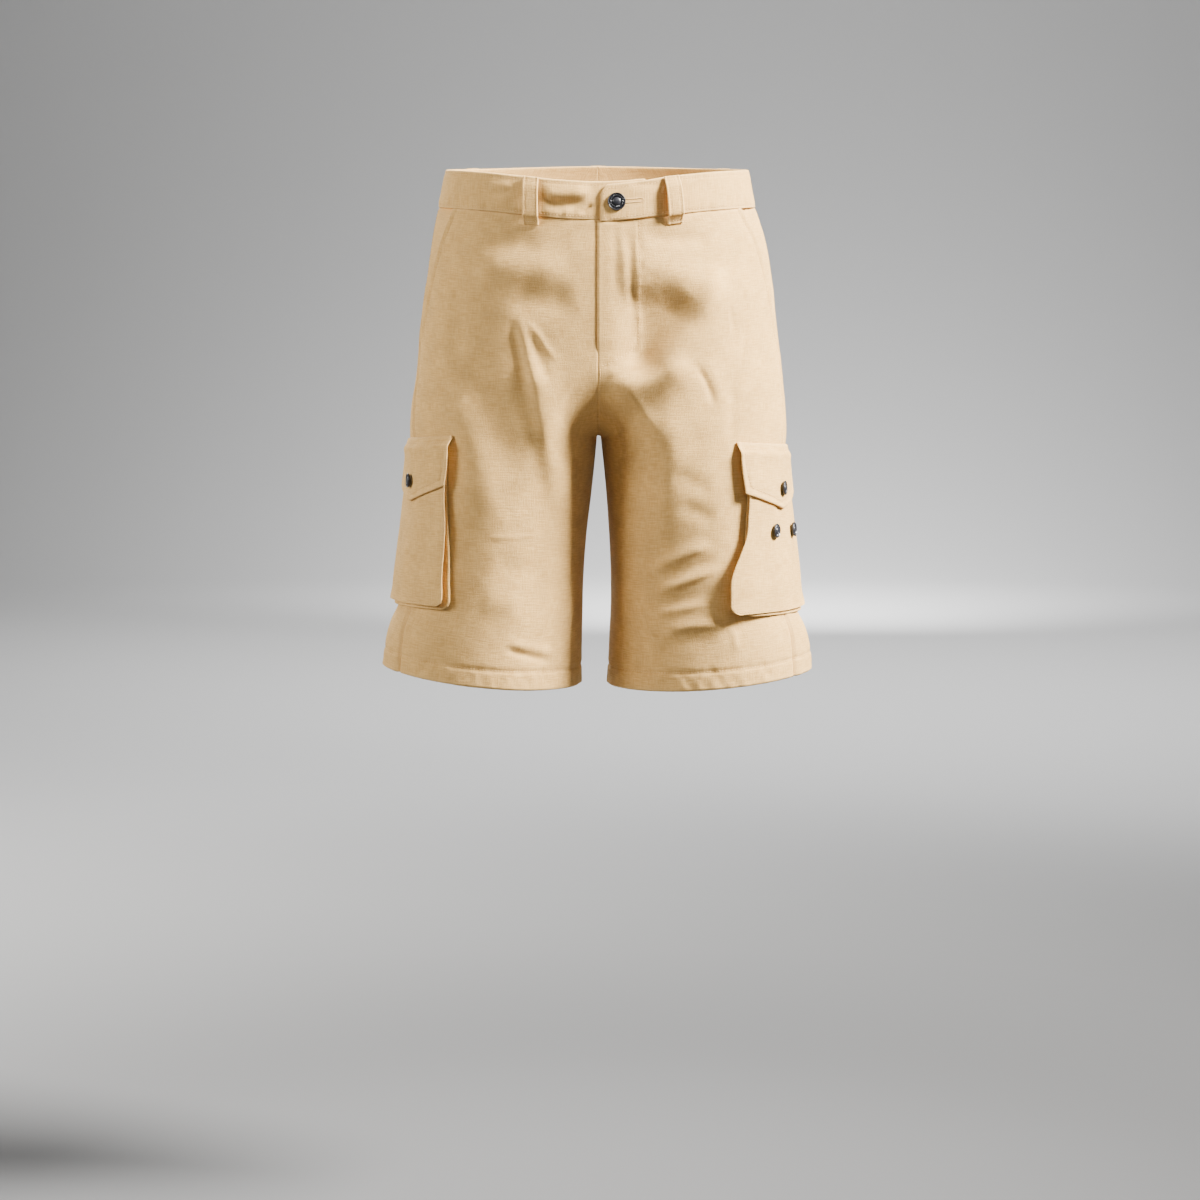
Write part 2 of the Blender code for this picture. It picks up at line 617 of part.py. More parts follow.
def add_band(side, name):
    """Half the waistband. The left one laps over the right one at centre front."""
    length = float(row_length(side, 0.0))
    start = LAP_COLUMNS if side == LEFT else UNDERLAP_COLUMNS
    distance = np.concatenate([start, np.linspace(LAP_END, length, BAND_COLUMNS)[1:]])
    rows = np.linspace(0.0, 1.0, BAND_ROWS)[:, None]
    top = np.full(distance.shape, -BAND_HEIGHT)
    bottom = np.zeros(distance.shape)
    if side == LEFT:
        corner = np.clip(1.0 - (distance - LAP_EDGE) / LAP_CORNER_WIDTH, 0.0, 1.0)
        top = top + lap_sag(distance, LAP_SAG_TOP, 0.07) + LAP_CORNER_HEIGHT * corner
        bottom = bottom + lap_sag(distance, LAP_SAG_BOTTOM, 0.05)
        lapped = 1.0 - smooth((distance - UNDERLAP_REACH) / (LAP_END - UNDERLAP_REACH))
        lift = BAND_PROUD + (LAP_PROUD - BAND_PROUD) * lapped
    else:
        lift = UNDERLAP_SUNK + (BAND_PROUD - UNDERLAP_SUNK) * smooth((distance + 0.003) / 0.025)
    drop = top * (1 - rows) + bottom * rows
    place = np.repeat(distance[None, :], BAND_ROWS, axis=0)
    grids = [from_front(place * side, drop, lift - thick) for thick in (0.0, BAND_CLOTH)]
    return add_wall(name, *grids)


def add_strip(name, span, columns, drops, lift, cloth, finish=CANVAS):
    """A strip behind the fly, from one distance to another and down through drops."""
    distance = np.linspace(*span, columns)[None, :]
    grids = [from_front(distance, drops[:, None], lift - thick) for thick in (0.0, cloth)]
    return add_wall(name, *grids, finish)


def add_loop(row):
    """A belt loop, stitched down above and below the waistband and standing off between."""
    course = dict(zip(LOOP_COURSE_COLUMNS, np.transpose(LOOP_COURSE)))
    drop = course["drop"][:, None]
    place = from_front if row["from"] == "front" else from_back
    across = np.linspace(-LOOP_WIDTH / 2, LOOP_WIDTH / 2, 4)[None, :]
    distance = row["distance"] + row["lean"] * (drop - drop[0]) / (drop[-1] - drop[0]) + across
    rest = np.where(drop < 0.002, BAND_PROUD, 0.0) + GAP
    under = rest + (row["stand"] - GAP) * course["share"][:, None]
    grids = [place(distance, drop, under + thick) for thick in (LOOP_CLOTH, 0.0)]
    return add_wall(row["name"], *grids)


def pocket_stand(pocket, behind, down):
    """How far the inside of a cargo pocket's front stands off the leg."""
    low = np.clip(down / pocket["length"], 0.0, 1.0)
    centre = POCKET_STAND_TOP + (POCKET_STAND_BOTTOM - POCKET_STAND_TOP) * low
    return centre + POCKET_STAND_EDGE * (behind / POCKET_REAR) ** 2 * (0.4 + 0.6 * low)


def pocket_outline(pocket, share):
    """Down the front edge of a pocket, round its lower corners and up its rear edge, drawn in
    from the sewn line by a share of the insets, which begin half-way down."""
    bottom = pocket["length"] - BASE_INSET * share
    angles = np.radians(np.linspace(0, 90, CORNER_ROWS + 1))
    down = np.concatenate([
        np.linspace(POCKET_MOUTH, bottom - POCKET_CORNER, EDGE_ROWS),
        bottom - POCKET_CORNER * (1 - np.sin(angles[1:])),
    ])
    low = smooth((down / pocket["length"] - INSET_START) / INSET_SPREAD) * share
    rounding = np.concatenate([np.zeros(EDGE_ROWS - 1), POCKET_CORNER * (1 - np.cos(angles))])
    front = -pocket["front"] + pocket["front_inset"] * low + rounding
    rear = POCKET_REAR - REAR_INSET * low - rounding
    base = np.linspace(front[-1], rear[-1], BASE_COLUMNS + 2)[1:-1]
    across = np.concatenate([front, base, rear[::-1]])
    along = np.concatenate([down, np.full(BASE_COLUMNS, bottom), down[::-1]])
    return np.stack([across, along], axis=1)


def add_gusset(pocket, name):
    """The bellows strip: sewn to the leg outside and to the pocket front inside."""
    outer, inner = [], []
    for fold in GUSSET_FOLDS:
        fold = dict(zip(GUSSET_FOLD_COLUMNS, fold))
        path = pocket_outline(pocket, fold["inwards"])
        stand = pocket_stand(pocket, path[:, 0], path[:, 1]) - 2 * GAP
        lift = GUSSET_SEAM + (stand - GUSSET_SEAM) * fold["rise"]
        along = unit(np.gradient(path, axis=0))
        moved = path + np.stack([along[:, 1], -along[:, 0]], axis=1) * GUSSET_CLOTH
        outer.append(on_pocket(pocket, path[:, 0], path[:, 1], lift))
        inner.append(on_pocket(pocket, moved[:, 0], moved[:, 1], lift))
    return add_wall(name, np.array(outer), np.array(inner))


def add_pocket(pocket, name):
    """The front of a bellows pocket, open at the top."""
    path = pocket_outline(pocket, 1.0)
    rows = EDGE_ROWS + CORNER_ROWS
    front, rear = path[:rows], path[:-rows - 1:-1]
    behind = np.linspace(front[:, 0], rear[:, 0], POCKET_ACROSS, axis=1)
    down = np.repeat(front[:, 1:], POCKET_ACROSS, axis=1)
    stand = pocket_stand(pocket, behind, down)
    return add_wall(name, *[on_pocket(pocket, behind, down, stand + up) for up in (CLOTH, 0.0)])


def flap_stand(pocket, behind, down):
    """How far the inside of a flap stands off the leg: sewn down above, over the pocket below."""
    over = pocket_stand(pocket, behind, np.maximum(down, POCKET_MOUTH)) + CLOTH + FLAP_CLEAR
    return GAP + (over - GAP) * smooth(down / POCKET_MOUTH * 1.25)


def add_flap(pocket, name):
    """A flap with a blunt point, sewn to the leg above the pocket's mouth."""
    across = np.linspace(-1.0, 1.0, FLAP_ACROSS)[None, :]
    bottom = FLAP_SIDE + (FLAP_POINT - FLAP_SIDE) * (1 - np.abs(across))
    rows = np.array(FLAP_ROWS)[:, None]
    down = bottom * rows
    behind = across * (FLAP_HALF - FLAP_TAPER * rows)
    stand = flap_stand(pocket, behind, down)
    grids = [on_pocket(pocket, behind, down, stand + up) for up in (FLAP_CLOTH, 0.0)]
    return add_wall(name, *grids)


def add_button(name, centre, outward, diameter, shank, neck):
    """A round button on a shank: a low rim round a slightly domed face."""
    outline = dict(zip(BUTTON_COLUMNS, np.transpose(BUTTON_PROFILE)))
    radii = np.concatenate([[0.0, neck, neck], diameter / 2 * outline["radius"]])
    heights = np.concatenate([[0.0, 0.0, shank], shank + BUTTON_HEIGHT * outline["rise"]])
    build = bmesh.new()
    points = [build.verts.new((r, 0.0, z)) for r, z in zip(radii, heights)]
    edges = [build.edges.new(pair) for pair in zip(points, points[1:])]
    bmesh.ops.spin(
        build, geom=points + edges, cent=(0, 0, 0), axis=(0, 0, 1),
        angle=math.tau, steps=18, use_merge=True,
    )
    bmesh.ops.remove_doubles(build, verts=build.verts, dist=1e-6)
    bmesh.ops.recalc_face_normals(build, faces=build.faces)
    mesh = bpy.data.meshes.new(name)
    build.to_mesh(mesh)
    build.free()
    mesh.shade_smooth()
    mesh.set_sharp_from_angle(angle=math.radians(40))
    button = add_object(name, mesh, BLACK)
    along = unit(np.asarray(outward, float))
    level = unit(np.cross((0.0, 0.0, 1.0), along))
    turn = Matrix(np.stack([level, np.cross(along, level), along], axis=1).tolist())
    button.location = centre
    button.rotation_euler = turn.to_euler()
    return button


def button_seat(place, *spot):
    """Centre and outward direction for a button on the surface that place gives."""
    here, above = place(*spot, 0.0), place(*spot, 0.010)
    return here, above - here


for side, word in ((LEFT, "left"), (RIGHT, "right")):
    add_front(side, f"front_{word}")
    add_back(side, f"back_{word}")
    add_facing(side, f"hip_facing_{word}")
lap = add_band(LEFT, "waistband_left")
add_band(RIGHT, "waistband_right")

strip_drops = PANEL_DROPS[PANEL_DROPS < FLY_DROP].copy()
strip_drops[0] = 0.0010
add_strip("fly_shield", SHIELD_SPAN, 6, strip_drops, -CLOTH - ZIP_CLOTH - 2 * GAP, CLOTH)
zip_drops = strip_drops[strip_drops < ZIP_DROP].copy()
zip_drops[0] = 0.0030
add_strip("fly_zip", ZIP_SPAN, 4, zip_drops, -CLOTH - GAP, ZIP_CLOTH, TAPE)

for loop in LOOPS:
    add_loop(dict(zip(LOOP_COLUMNS, loop)))

pockets = [dict(zip(POCKET_COLUMNS, row)) for row in POCKETS]
for pocket, word in zip(pockets, ("left", "right")):
    add_gusset(pocket, f"cargo_gusset_{word}")
    add_pocket(pocket, f"cargo_pocket_{word}")
    add_flap(pocket, f"cargo_flap_{word}")
    lift = flap_stand(pocket, 0.0, FLAP_BUTTON_DOWN) + FLAP_CLOTH + GAP
    seat, outward = button_seat(
        lambda behind, down, extra: on_pocket(pocket, behind, down, lift + extra),
        0.0, FLAP_BUTTON_DOWN,
    )
    add_button(f"flap_button_{word}", seat, outward, SMALL_BUTTON, SHANK, SHANK_RADIUS)

for behind, word in zip(POCKET_BUTTON_AT, ("front", "rear")):
    lift = pocket_stand(pockets[0], behind, POCKET_BUTTON_DOWN) + CLOTH + GAP
    seat, outward = button_seat(
        lambda across, down, extra: on_pocket(pockets[0], across, down, lift + extra),
        behind, POCKET_BUTTON_DOWN,
    )
    add_button(f"pocket_button_{word}", seat, outward, SMALL_BUTTON, SHANK, SHANK_RADIUS)

seat, outward = button_seat(
    lambda x, drop, extra: from_front(x, drop, UNDERLAP_SUNK + GAP + extra), *WAIST_BUTTON_AT
)
waist_shank = LAP_PROUD - UNDERLAP_SUNK + 2 * GAP
add_button("waist_button", seat, outward, WAIST_BUTTON, waist_shank, WAIST_SHANK_RADIUS)

bpy.ops.mesh.primitive_cube_add(size=1.0)
cutter = bpy.context.object
cutter.name = "buttonhole_cutter"
cutter.scale = (BUTTONHOLE_LENGTH, 4 * BAND_CLOTH, BUTTONHOLE_HEIGHT)
hole_x = WAIST_BUTTON_AT[0] + BUTTONHOLE_LENGTH / 2 - BUTTONHOLE_END
cutter.location = from_front(hole_x, WAIST_BUTTON_AT[1], 0.0)
cutter.hide_render = True
cutter.display_type = "WIRE"
cut = lap.modifiers.new("buttonhole", "BOOLEAN")
cut.operation = "DIFFERENCE"
cut.object = cutter
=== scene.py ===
"""Cargo shorts of sand-coloured cotton canvas, filled out as worn, in a plain studio."""

import math

import bmesh
import bpy
import numpy as np
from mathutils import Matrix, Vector
from mathutils.bvhtree import BVHTree


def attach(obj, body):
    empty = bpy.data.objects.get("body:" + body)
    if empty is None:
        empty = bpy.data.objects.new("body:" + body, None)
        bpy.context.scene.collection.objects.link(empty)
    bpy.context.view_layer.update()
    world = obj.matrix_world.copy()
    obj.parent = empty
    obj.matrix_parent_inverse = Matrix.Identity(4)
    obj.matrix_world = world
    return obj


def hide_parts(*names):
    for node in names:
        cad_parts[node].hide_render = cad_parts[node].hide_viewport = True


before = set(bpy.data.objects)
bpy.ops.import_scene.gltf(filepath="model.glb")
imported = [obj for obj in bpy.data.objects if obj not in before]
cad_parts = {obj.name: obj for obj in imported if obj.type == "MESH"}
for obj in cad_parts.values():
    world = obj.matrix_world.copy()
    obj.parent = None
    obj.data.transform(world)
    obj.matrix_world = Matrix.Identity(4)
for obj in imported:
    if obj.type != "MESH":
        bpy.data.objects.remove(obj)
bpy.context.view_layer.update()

# ---------------------------------------------------------------- Studio
# A level camera in front of the waistband, and a paper floor a leg's length below it, paler
# towards the round wall it curves up into: its colour is painted shade, dark near the middle.
# One soft light stands high at the wearer's left and weak ones around; the last three light
# the wall and the floor behind.
CAMERA_AT = (0.002, -3.9, 0.06)
SENSOR, LENS, SHIFT = 36.0, 117.0, -470 / 1200
FLOOR_Z = -1.02
FLOOR_RADIUS, COVE_RADIUS, WALL_TOP = 5.5, 1.6, 5.0
COVE_STEPS, FLOOR_STEPS = 19, 96
# The paper's colour is painted shade: dark near the middle, paling to the wall's tone between these
# distances from the middle.
PAINTED_FLOOR_SHADE, WALL_TONE = 0.11, 0.60
TONE_START, TONE_END = 0.6, 2.6
PAPER_ROUGHNESS = 0.9
AIR_STRENGTH = 0.06
LIGHT_COLUMNS = ("name", "place", "aim", "size", "spread", "watts", "colour")
LIGHTS = (
    ("key_light", (3.0, -0.9, 2.2), (0.0, 0.0, -0.2), 1.2, 45, 112.0, (1.0, 0.985, 0.96)),
    ("fill_light", (-3.2, -0.8, 0.9), (0.0, 0.0, -0.2), 1.4, 45, 14.0, (1.0, 0.99, 0.97)),
    ("front_light", (0.6, -3.6, 1.6), (0.0, 0.0, -0.2), 1.8, 45, 3.0, (1.0, 1.0, 1.0)),
    ("back_light", (-1.2, 3.0, 1.6), (0.0, 0.0, -0.2), 1.8, 45, 16.0, (1.0, 1.0, 1.0)),
    ("wall_light", (0.3, 0.8, 3.5), (0.3, 6.0, -1.0), 2.0, 120, 35.0, (1.0, 1.0, 1.0)),
    ("glow_light", (0.35, 4.6, -0.3), (0.35, 6.6, -1.2), 0.9, 140, 28.0, (1.0, 1.0, 1.0)),
    ("floor_light", (0.3, 3.2, 2.2), (0.3, 3.6, -1.0), 2.4, 90, 58.0, (1.0, 1.0, 1.0)),
)


def placed(name, data):
    """A new object in the scene."""
    made = bpy.data.objects.new(name, data)
    bpy.context.scene.collection.objects.link(made)
    return made


camera = placed("camera", bpy.data.cameras.new("camera"))
camera.location = CAMERA_AT
camera.rotation_euler = (math.pi / 2, 0.0, 0.0)
camera.data.sensor_width = SENSOR
camera.data.lens = LENS
camera.data.shift_y = SHIFT
camera.data.dof.use_dof = False
bpy.context.scene.camera = camera


def finished(name, mesh, finish):
    """A new object of a mesh, shaded smooth and in one material."""
    mesh.shade_smooth()
    mesh.materials.append(finish)
    return placed(name, mesh)


def new_finish(name):
    """A new material, with its nodes and its shader."""
    made = bpy.data.materials.new(name)
    made.use_nodes = True
    return made, made.node_tree, made.node_tree.nodes["Principled BSDF"]


def give(tree, taker, inputs):
    """Joins or sets inputs of a shader node."""
    for place, source in dict(inputs).items():
        if isinstance(source, bpy.types.NodeSocket):
            tree.links.new(source, taker.inputs[place])
        else:
            taker.inputs[place].default_value = source


def node(tree, kind, inputs=(), **settings):
    """A shader node, with its settings and its inputs joined or set."""
    made = tree.nodes.new(f"ShaderNode{kind}")
    for key, value in settings.items():
        setattr(made, key, value)
    give(tree, made, inputs)
    return made


outline = [(0.0, FLOOR_Z)]
outline += [
    (FLOOR_RADIUS + COVE_RADIUS * math.sin(a), FLOOR_Z + COVE_RADIUS * (1 - math.cos(a)))
    for a in np.radians(np.linspace(0, 90, COVE_STEPS))
]
outline.append((FLOOR_RADIUS + COVE_RADIUS, WALL_TOP))
build = bmesh.new()
points = [build.verts.new((r, 0.0, z)) for r, z in outline]
edges = [build.edges.new(pair) for pair in zip(points, points[1:])]
bmesh.ops.spin(
    build, geom=points + edges, cent=(0, 0, 0), axis=(0, 0, 1), angle=math.tau,
    steps=FLOOR_STEPS, use_merge=True,
)
bmesh.ops.remove_doubles(build, verts=build.verts, dist=1e-5)
bmesh.ops.recalc_face_normals(build, faces=build.faces)
bmesh.ops.reverse_faces(build, faces=build.faces)
floor_mesh = bpy.data.meshes.new("studio_floor")
build.to_mesh(floor_mesh)
build.free()
paper, tree, shader = new_finish("studio_paper")
place = node(tree, "TexCoord").outputs["Object"]
level = node(tree, "VectorMath", {0: place, 1: (1.0, 1.0, 0.0)}, operation="MULTIPLY").outputs[0]
distance = node(tree, "VectorMath", {0: level}, operation="LENGTH").outputs["Value"]
# Painted shade: the paper's colour darkens towards the middle of the floor.
painted_shade = node(
    tree, "MapRange", enumerate((distance, TONE_START, TONE_END, PAINTED_FLOOR_SHADE, WALL_TONE)),
    interpolation_type="SMOOTHSTEP",
)
give(tree, shader, {"Base Color": painted_shade.outputs["Result"], "Roughness": PAPER_ROUGHNESS})
studio_floor = finished("studio_floor", floor_mesh, paper)

world = bpy.data.worlds.new("studio_air")
bpy.context.scene.world = world
world.use_nodes = True
air = world.node_tree.nodes["Background"]
give(world.node_tree, air, {"Color": (1.0, 1.0, 1.0, 1), "Strength": AIR_STRENGTH})

for row in LIGHTS:
    light = dict(zip(LIGHT_COLUMNS, row))
    lamp = placed(light["name"], bpy.data.lights.new(light["name"], "AREA"))
    lamp.data.size = light["size"]
    lamp.data.energy = light["watts"]
    lamp.data.spread = math.radians(light["spread"])
    lamp.data.color = light["colour"]
    lamp.location = light["place"]
    aim = Vector(light["aim"]) - Vector(light["place"])
    lamp.rotation_euler = aim.to_track_quat("-Z", "Y").to_euler()
    lamp.visible_camera = False

# ---------------------------------------------------------------- Fronts and backs
# Two fronts and two backs of plain-woven cotton canvas, sewn at the sides, inseams and crotch.
# Each half of the garment is one skin: rows of its plan from the section table, pushed out and in
# by its folds. The pieces are laid on a skin by their place in the flat cut.
LEFT, RIGHT = 1, -1
SIDES = ((LEFT, "left"), (RIGHT, "right"))
CLOTH, HEM_CLOTH, GAP = 0.0015, 0.0026, 0.0003
BAND_HEIGHT = 0.0360
FRONT_CURVE, BACK_CURVE = 0.1500, 0.1200
CROTCH_DROP = 0.2285
HEM_DROP, HEM_DEPTH = 0.4555, 0.0180
LEG_START, LEG_FORMED = 0.1000, 0.2900
SIDE_Z = -0.0165
FRONT_WAIST_RISE, BACK_WAIST_RISE, INSEAM_HEM_RISE = -0.0101, 0.0025, -0.0185
WAIST_PULL, LEG_PULL = 4.0, 2.0
INSEAM_TURN, TURN_LENGTH = 0.0080, 0.2000
LEFT_SAG, SAG_START, SAG_LENGTH = 0.0045, 0.2000, 0.2000
HEM_DIP, DIP_START, DIP_SHARE = 0.0020, 0.3000, 0.45
GUIDE, GUIDE_SHARE = 0.0850, 0.75

SECTION_COLUMNS = (
    "drop", "out_left", "out_right", "front", "back", "in_left", "in_right", "square", "seam",
)
SECTIONS = (
    (-0.036, 0.1495, 0.1510, 0.1030, 0.0990, 0.0000, 0.0000, 2.20, 0.007),
    (0.000, 0.1560, 0.1580, 0.1065, 0.1030, 0.0000, 0.0000, 2.25, 0.008),
    (0.030, 0.1660, 0.1640, 0.1095, 0.1095, 0.0000, 0.0000, 2.30, 0.010),
    (0.075, 0.1735, 0.1700, 0.1120, 0.1170, 0.0000, 0.0000, 2.35, 0.014),
    (0.120, 0.1780, 0.1765, 0.1120, 0.1215, 0.0000, 0.0000, 2.35, 0.020),
    (0.165, 0.1830, 0.1805, 0.1110, 0.1225, 0.0000, 0.0000, 2.30, 0.028),
    (0.205, 0.1870, 0.1870, 0.1080, 0.1200, 0.0000, 0.0000, 2.18, 0.035),
    (0.2285, 0.1880, 0.1885, 0.1055, 0.1175, 0.0025, 0.0010, 2.10, 0.039),
    (0.250, 0.1858, 0.1872, 0.1038, 0.1150, 0.0050, 0.0030, 2.06, 0.041),
    (0.285, 0.1865, 0.1880, 0.1015, 0.1115, 0.0085, 0.0070, 2.02, 0.043),
    (0.320, 0.1885, 0.1903, 0.0990, 0.1080, 0.0110, 0.0115, 2.00, 0.045),
    (0.360, 0.1918, 0.1938, 0.0965, 0.1045, 0.0130, 0.0145, 1.98, 0.047),
    (0.393, 0.1965, 0.1982, 0.0950, 0.1020, 0.0125, 0.0154, 1.95, 0.048),
    (0.415, 0.2065, 0.2075, 0.0940, 0.1005, 0.0110, 0.0158, 1.95, 0.049),
    (0.435, 0.2110, 0.2125, 0.0932, 0.0995, 0.0100, 0.0160, 1.93, 0.050),
    (0.4555, 0.2130, 0.2150, 0.0925, 0.0985, 0.0085, 0.0162, 1.92, 0.050),
)

# Folds and creases of the worn cloth, by side and by front or back. Each is a soft ridge or, with
# a height below zero, a trough.
# One runs from its start past its bend to its end. Its lean makes it steeper on the left of its
# course, or on the right if below zero.
FOLD_COLUMNS = (
    "start_x", "start_z", "bend_x", "bend_z", "end_x", "end_z", "width", "height", "lean",
)
FOLDS = {
    (RIGHT, "front"): (
        # a soft roll below the belt, the sharp fold down the thigh and its troughs
        (0.120, -0.048, 0.095, -0.053, 0.050, -0.048, 0.010, -0.0016, 0.0),
        (0.124, -0.072, 0.079, -0.080, 0.026, -0.068, 0.015, 0.0036, 0.0),
        (0.086, -0.097, 0.062, -0.112, 0.018, -0.102, 0.015, -0.0036, 0.0),
        (0.079, -0.120, 0.072, -0.150, 0.056, -0.204, 0.0062, 0.0026, 0.25),
        (0.068, -0.150, 0.054, -0.205, 0.038, -0.330, 0.013, 0.0050, 0.35),
        (0.084, -0.122, 0.079, -0.152, 0.066, -0.212, 0.0062, -0.0024, 0.0),
        (0.067, -0.134, 0.057, -0.158, 0.046, -0.190, 0.0046, -0.0014, 0.0),
        (0.070, -0.122, 0.056, -0.142, 0.036, -0.168, 0.0030, 0.0013, -0.4),
        (0.134, -0.166, 0.108, -0.190, 0.078, -0.290, 0.016, -0.0026, 0.0),
        (0.140, -0.196, 0.118, -0.240, 0.098, -0.340, 0.017, 0.0026, 0.0),
        (0.034, -0.250, 0.029, -0.360, 0.028, -0.480, 0.016, 0.0036, 0.0),
        (0.114, -0.337, 0.085, -0.338, 0.054, -0.336, 0.0018, 0.0008, 0.0),
        (0.093, -0.446, 0.078, -0.452, 0.040, -0.464, 0.0030, -0.0020, 0.0),
        (0.090, -0.440, 0.070, -0.446, 0.036, -0.456, 0.0040, 0.0014, 0.0),
        (0.118, -0.395, 0.096, -0.405, 0.070, -0.400, 0.012, 0.0016, 0.0),
        (0.104, -0.360, 0.080, -0.374, 0.050, -0.372, 0.014, -0.0014, 0.0),
        (0.150, -0.060, 0.153, -0.120, 0.150, -0.190, 0.012, 0.0014, 0.0),
        (0.138, -0.070, 0.141, -0.120, 0.138, -0.180, 0.009, -0.0014, 0.0),
        # the waistband, pulled up towards the button
        (0.058, 0.000, 0.034, -0.006, 0.004, 0.002, 0.0060, 0.0030, 0.3),
        (0.054, -0.010, 0.034, -0.016, 0.010, -0.008, 0.0050, -0.0030, 0.0),
        (0.017, -0.023, 0.012, -0.016, 0.004, -0.012, 0.0026, -0.0026, 0.0),
        (0.110, 0.008, 0.096, 0.004, 0.082, 0.006, 0.0034, 0.0010, 0.0),
        (0.108, 0.000, 0.094, -0.002, 0.084, 0.000, 0.0030, -0.0009, 0.0),
    ),
    (LEFT, "front"): (
        # the hollow beside the fly, the fold at the crotch and creases on the thigh
        (0.040, -0.043, 0.076, -0.049, 0.114, -0.043, 0.008, -0.0022, 0.0),
        (0.010, -0.074, 0.084, -0.066, 0.124, -0.110, 0.017, 0.0040, 0.0),
        (0.118, -0.066, 0.112, -0.142, 0.020, -0.192, 0.018, 0.0108, -0.3),
        (0.090, -0.098, 0.058, -0.128, 0.034, -0.206, 0.022, -0.0080, 0.0),
        (0.044, -0.086, 0.042, -0.130, 0.040, -0.190, 0.020, -0.0070, 0.0),
        (0.092, -0.162, 0.056, -0.186, 0.006, -0.192, 0.012, 0.0056, -0.2),
        (0.008, -0.226, 0.036, -0.222, 0.070, -0.200, 0.014, -0.0024, 0.0),
        (0.007, -0.180, 0.022, -0.174, 0.036, -0.163, 0.0034, 0.0013, 0.0),
        (0.022, -0.032, 0.026, -0.070, 0.028, -0.120, 0.0030, 0.0009, 0.0),
        (0.036, -0.030, 0.039, -0.090, 0.0425, -0.168, 0.0024, 0.0012, 0.0),
        (0.031, -0.030, 0.033, -0.080, 0.036, -0.130, 0.0034, -0.0008, 0.0),
        (0.016, -0.030, 0.017, -0.060, 0.018, -0.110, 0.0036, -0.0009, 0.0),
        (0.128, -0.110, 0.131, -0.124, 0.134, -0.142, 0.0024, -0.0012, 0.0),
        (0.147, -0.134, 0.145, -0.152, 0.138, -0.172, 0.0024, -0.0012, 0.0),
        (0.092, -0.166, 0.110, -0.186, 0.113, -0.212, 0.0028, -0.0016, 0.0),
        (0.102, -0.160, 0.118, -0.184, 0.122, -0.214, 0.0060, 0.0012, 0.0),
        (0.134, -0.180, 0.130, -0.220, 0.132, -0.260, 0.0060, -0.0012, 0.0),
        (0.068, -0.200, 0.078, -0.260, 0.060, -0.350, 0.015, 0.0030, 0.0),
        (0.036, -0.250, 0.031, -0.340, 0.030, -0.480, 0.018, 0.0030, 0.0),
        (0.070, -0.268, 0.092, -0.288, 0.114, -0.292, 0.0100, -0.0018, 0.0),
        (0.047, -0.376, 0.084, -0.352, 0.113, -0.344, 0.0060, 0.0032, -0.3),
        (0.052, -0.388, 0.086, -0.367, 0.118, -0.357, 0.0060, -0.0012, 0.0),
        (0.051, -0.394, 0.084, -0.382, 0.124, -0.366, 0.0050, 0.0028, -0.3),
        (0.056, -0.406, 0.090, -0.398, 0.124, -0.386, 0.0080, -0.0018, 0.0),
        (0.050, -0.414, 0.084, -0.408, 0.112, -0.400, 0.0040, 0.0018, 0.0),
        (0.060, -0.434, 0.092, -0.420, 0.126, -0.424, 0.0055, 0.0034, -0.3),
        (0.054, -0.446, 0.088, -0.438, 0.120, -0.436, 0.0070, -0.0010, 0.0),
        (0.128, -0.422, 0.136, -0.436, 0.134, -0.452, 0.0034, 0.0012, 0.0),
        (0.080, -0.300, 0.096, -0.316, 0.116, -0.320, 0.0090, -0.0016, 0.0),
        # the waistband
        (0.030, 0.009, 0.044, 0.005, 0.062, 0.008, 0.0040, -0.0012, 0.0),
        (0.006, -0.026, 0.016, -0.030, 0.026, -0.027, 0.0024, -0.0009, 0.0),
    ),
    (RIGHT, "back"): (
        # drag lines below the seat, and soft lengthwise folds down the legs
        (0.030, -0.262, 0.080, -0.292, 0.150, -0.262, 0.014, -0.0036, 0.0),
        (0.026, -0.300, 0.078, -0.328, 0.140, -0.316, 0.018, 0.0030, 0.0),
        (0.094, -0.300, 0.098, -0.380, 0.090, -0.470, 0.020, 0.0034, 0.0),
        (0.044, -0.240, 0.084, -0.262, 0.130, -0.240, 0.007, 0.0026, 0.0),
        (0.062, -0.350, 0.060, -0.400, 0.052, -0.450, 0.010, -0.0022, 0.0),
        (0.110, -0.060, 0.080, -0.068, 0.040, -0.060, 0.010, 0.0016, 0.0),
        (0.030, -0.224, 0.056, -0.216, 0.094, -0.186, 0.006, 0.0024, 0.0),
        (0.124, -0.350, 0.100, -0.372, 0.066, -0.376, 0.006, 0.0022, 0.3),
        (0.128, -0.366, 0.104, -0.386, 0.070, -0.390, 0.006, -0.0020, 0.0),
    ),
    (LEFT, "back"): (
        # the like on the left
        (0.036, -0.256, 0.085, -0.288, 0.156, -0.270, 0.013, -0.0036, 0.0),
        (0.030, -0.306, 0.090, -0.336, 0.146, -0.310, 0.017, 0.0030, 0.0),
        (0.084, -0.320, 0.090, -0.390, 0.102, -0.470, 0.018, 0.0032, 0.0),
        (0.050, -0.236, 0.090, -0.256, 0.140, -0.246, 0.007, 0.0024, 0.0),
        (0.120, -0.350, 0.124, -0.400, 0.130, -0.450, 0.011, -0.0020, 0.0),
        (0.034, -0.072, 0.070, -0.080, 0.120, -0.070, 0.011, 0.0016, 0.0),
        (0.026, -0.220, 0.050, -0.208, 0.080, -0.176, 0.006, 0.0022, 0.0),
        (0.060, -0.408, 0.092, -0.398, 0.126, -0.404, 0.0055, 0.0024, -0.3),
    ),
}
FOLD_STEPS, FOLD_REACH, FOLD_FADE = 16, 3.5, 0.30
FACE_LIMIT, FACE_FULL = 0.02, 0.45
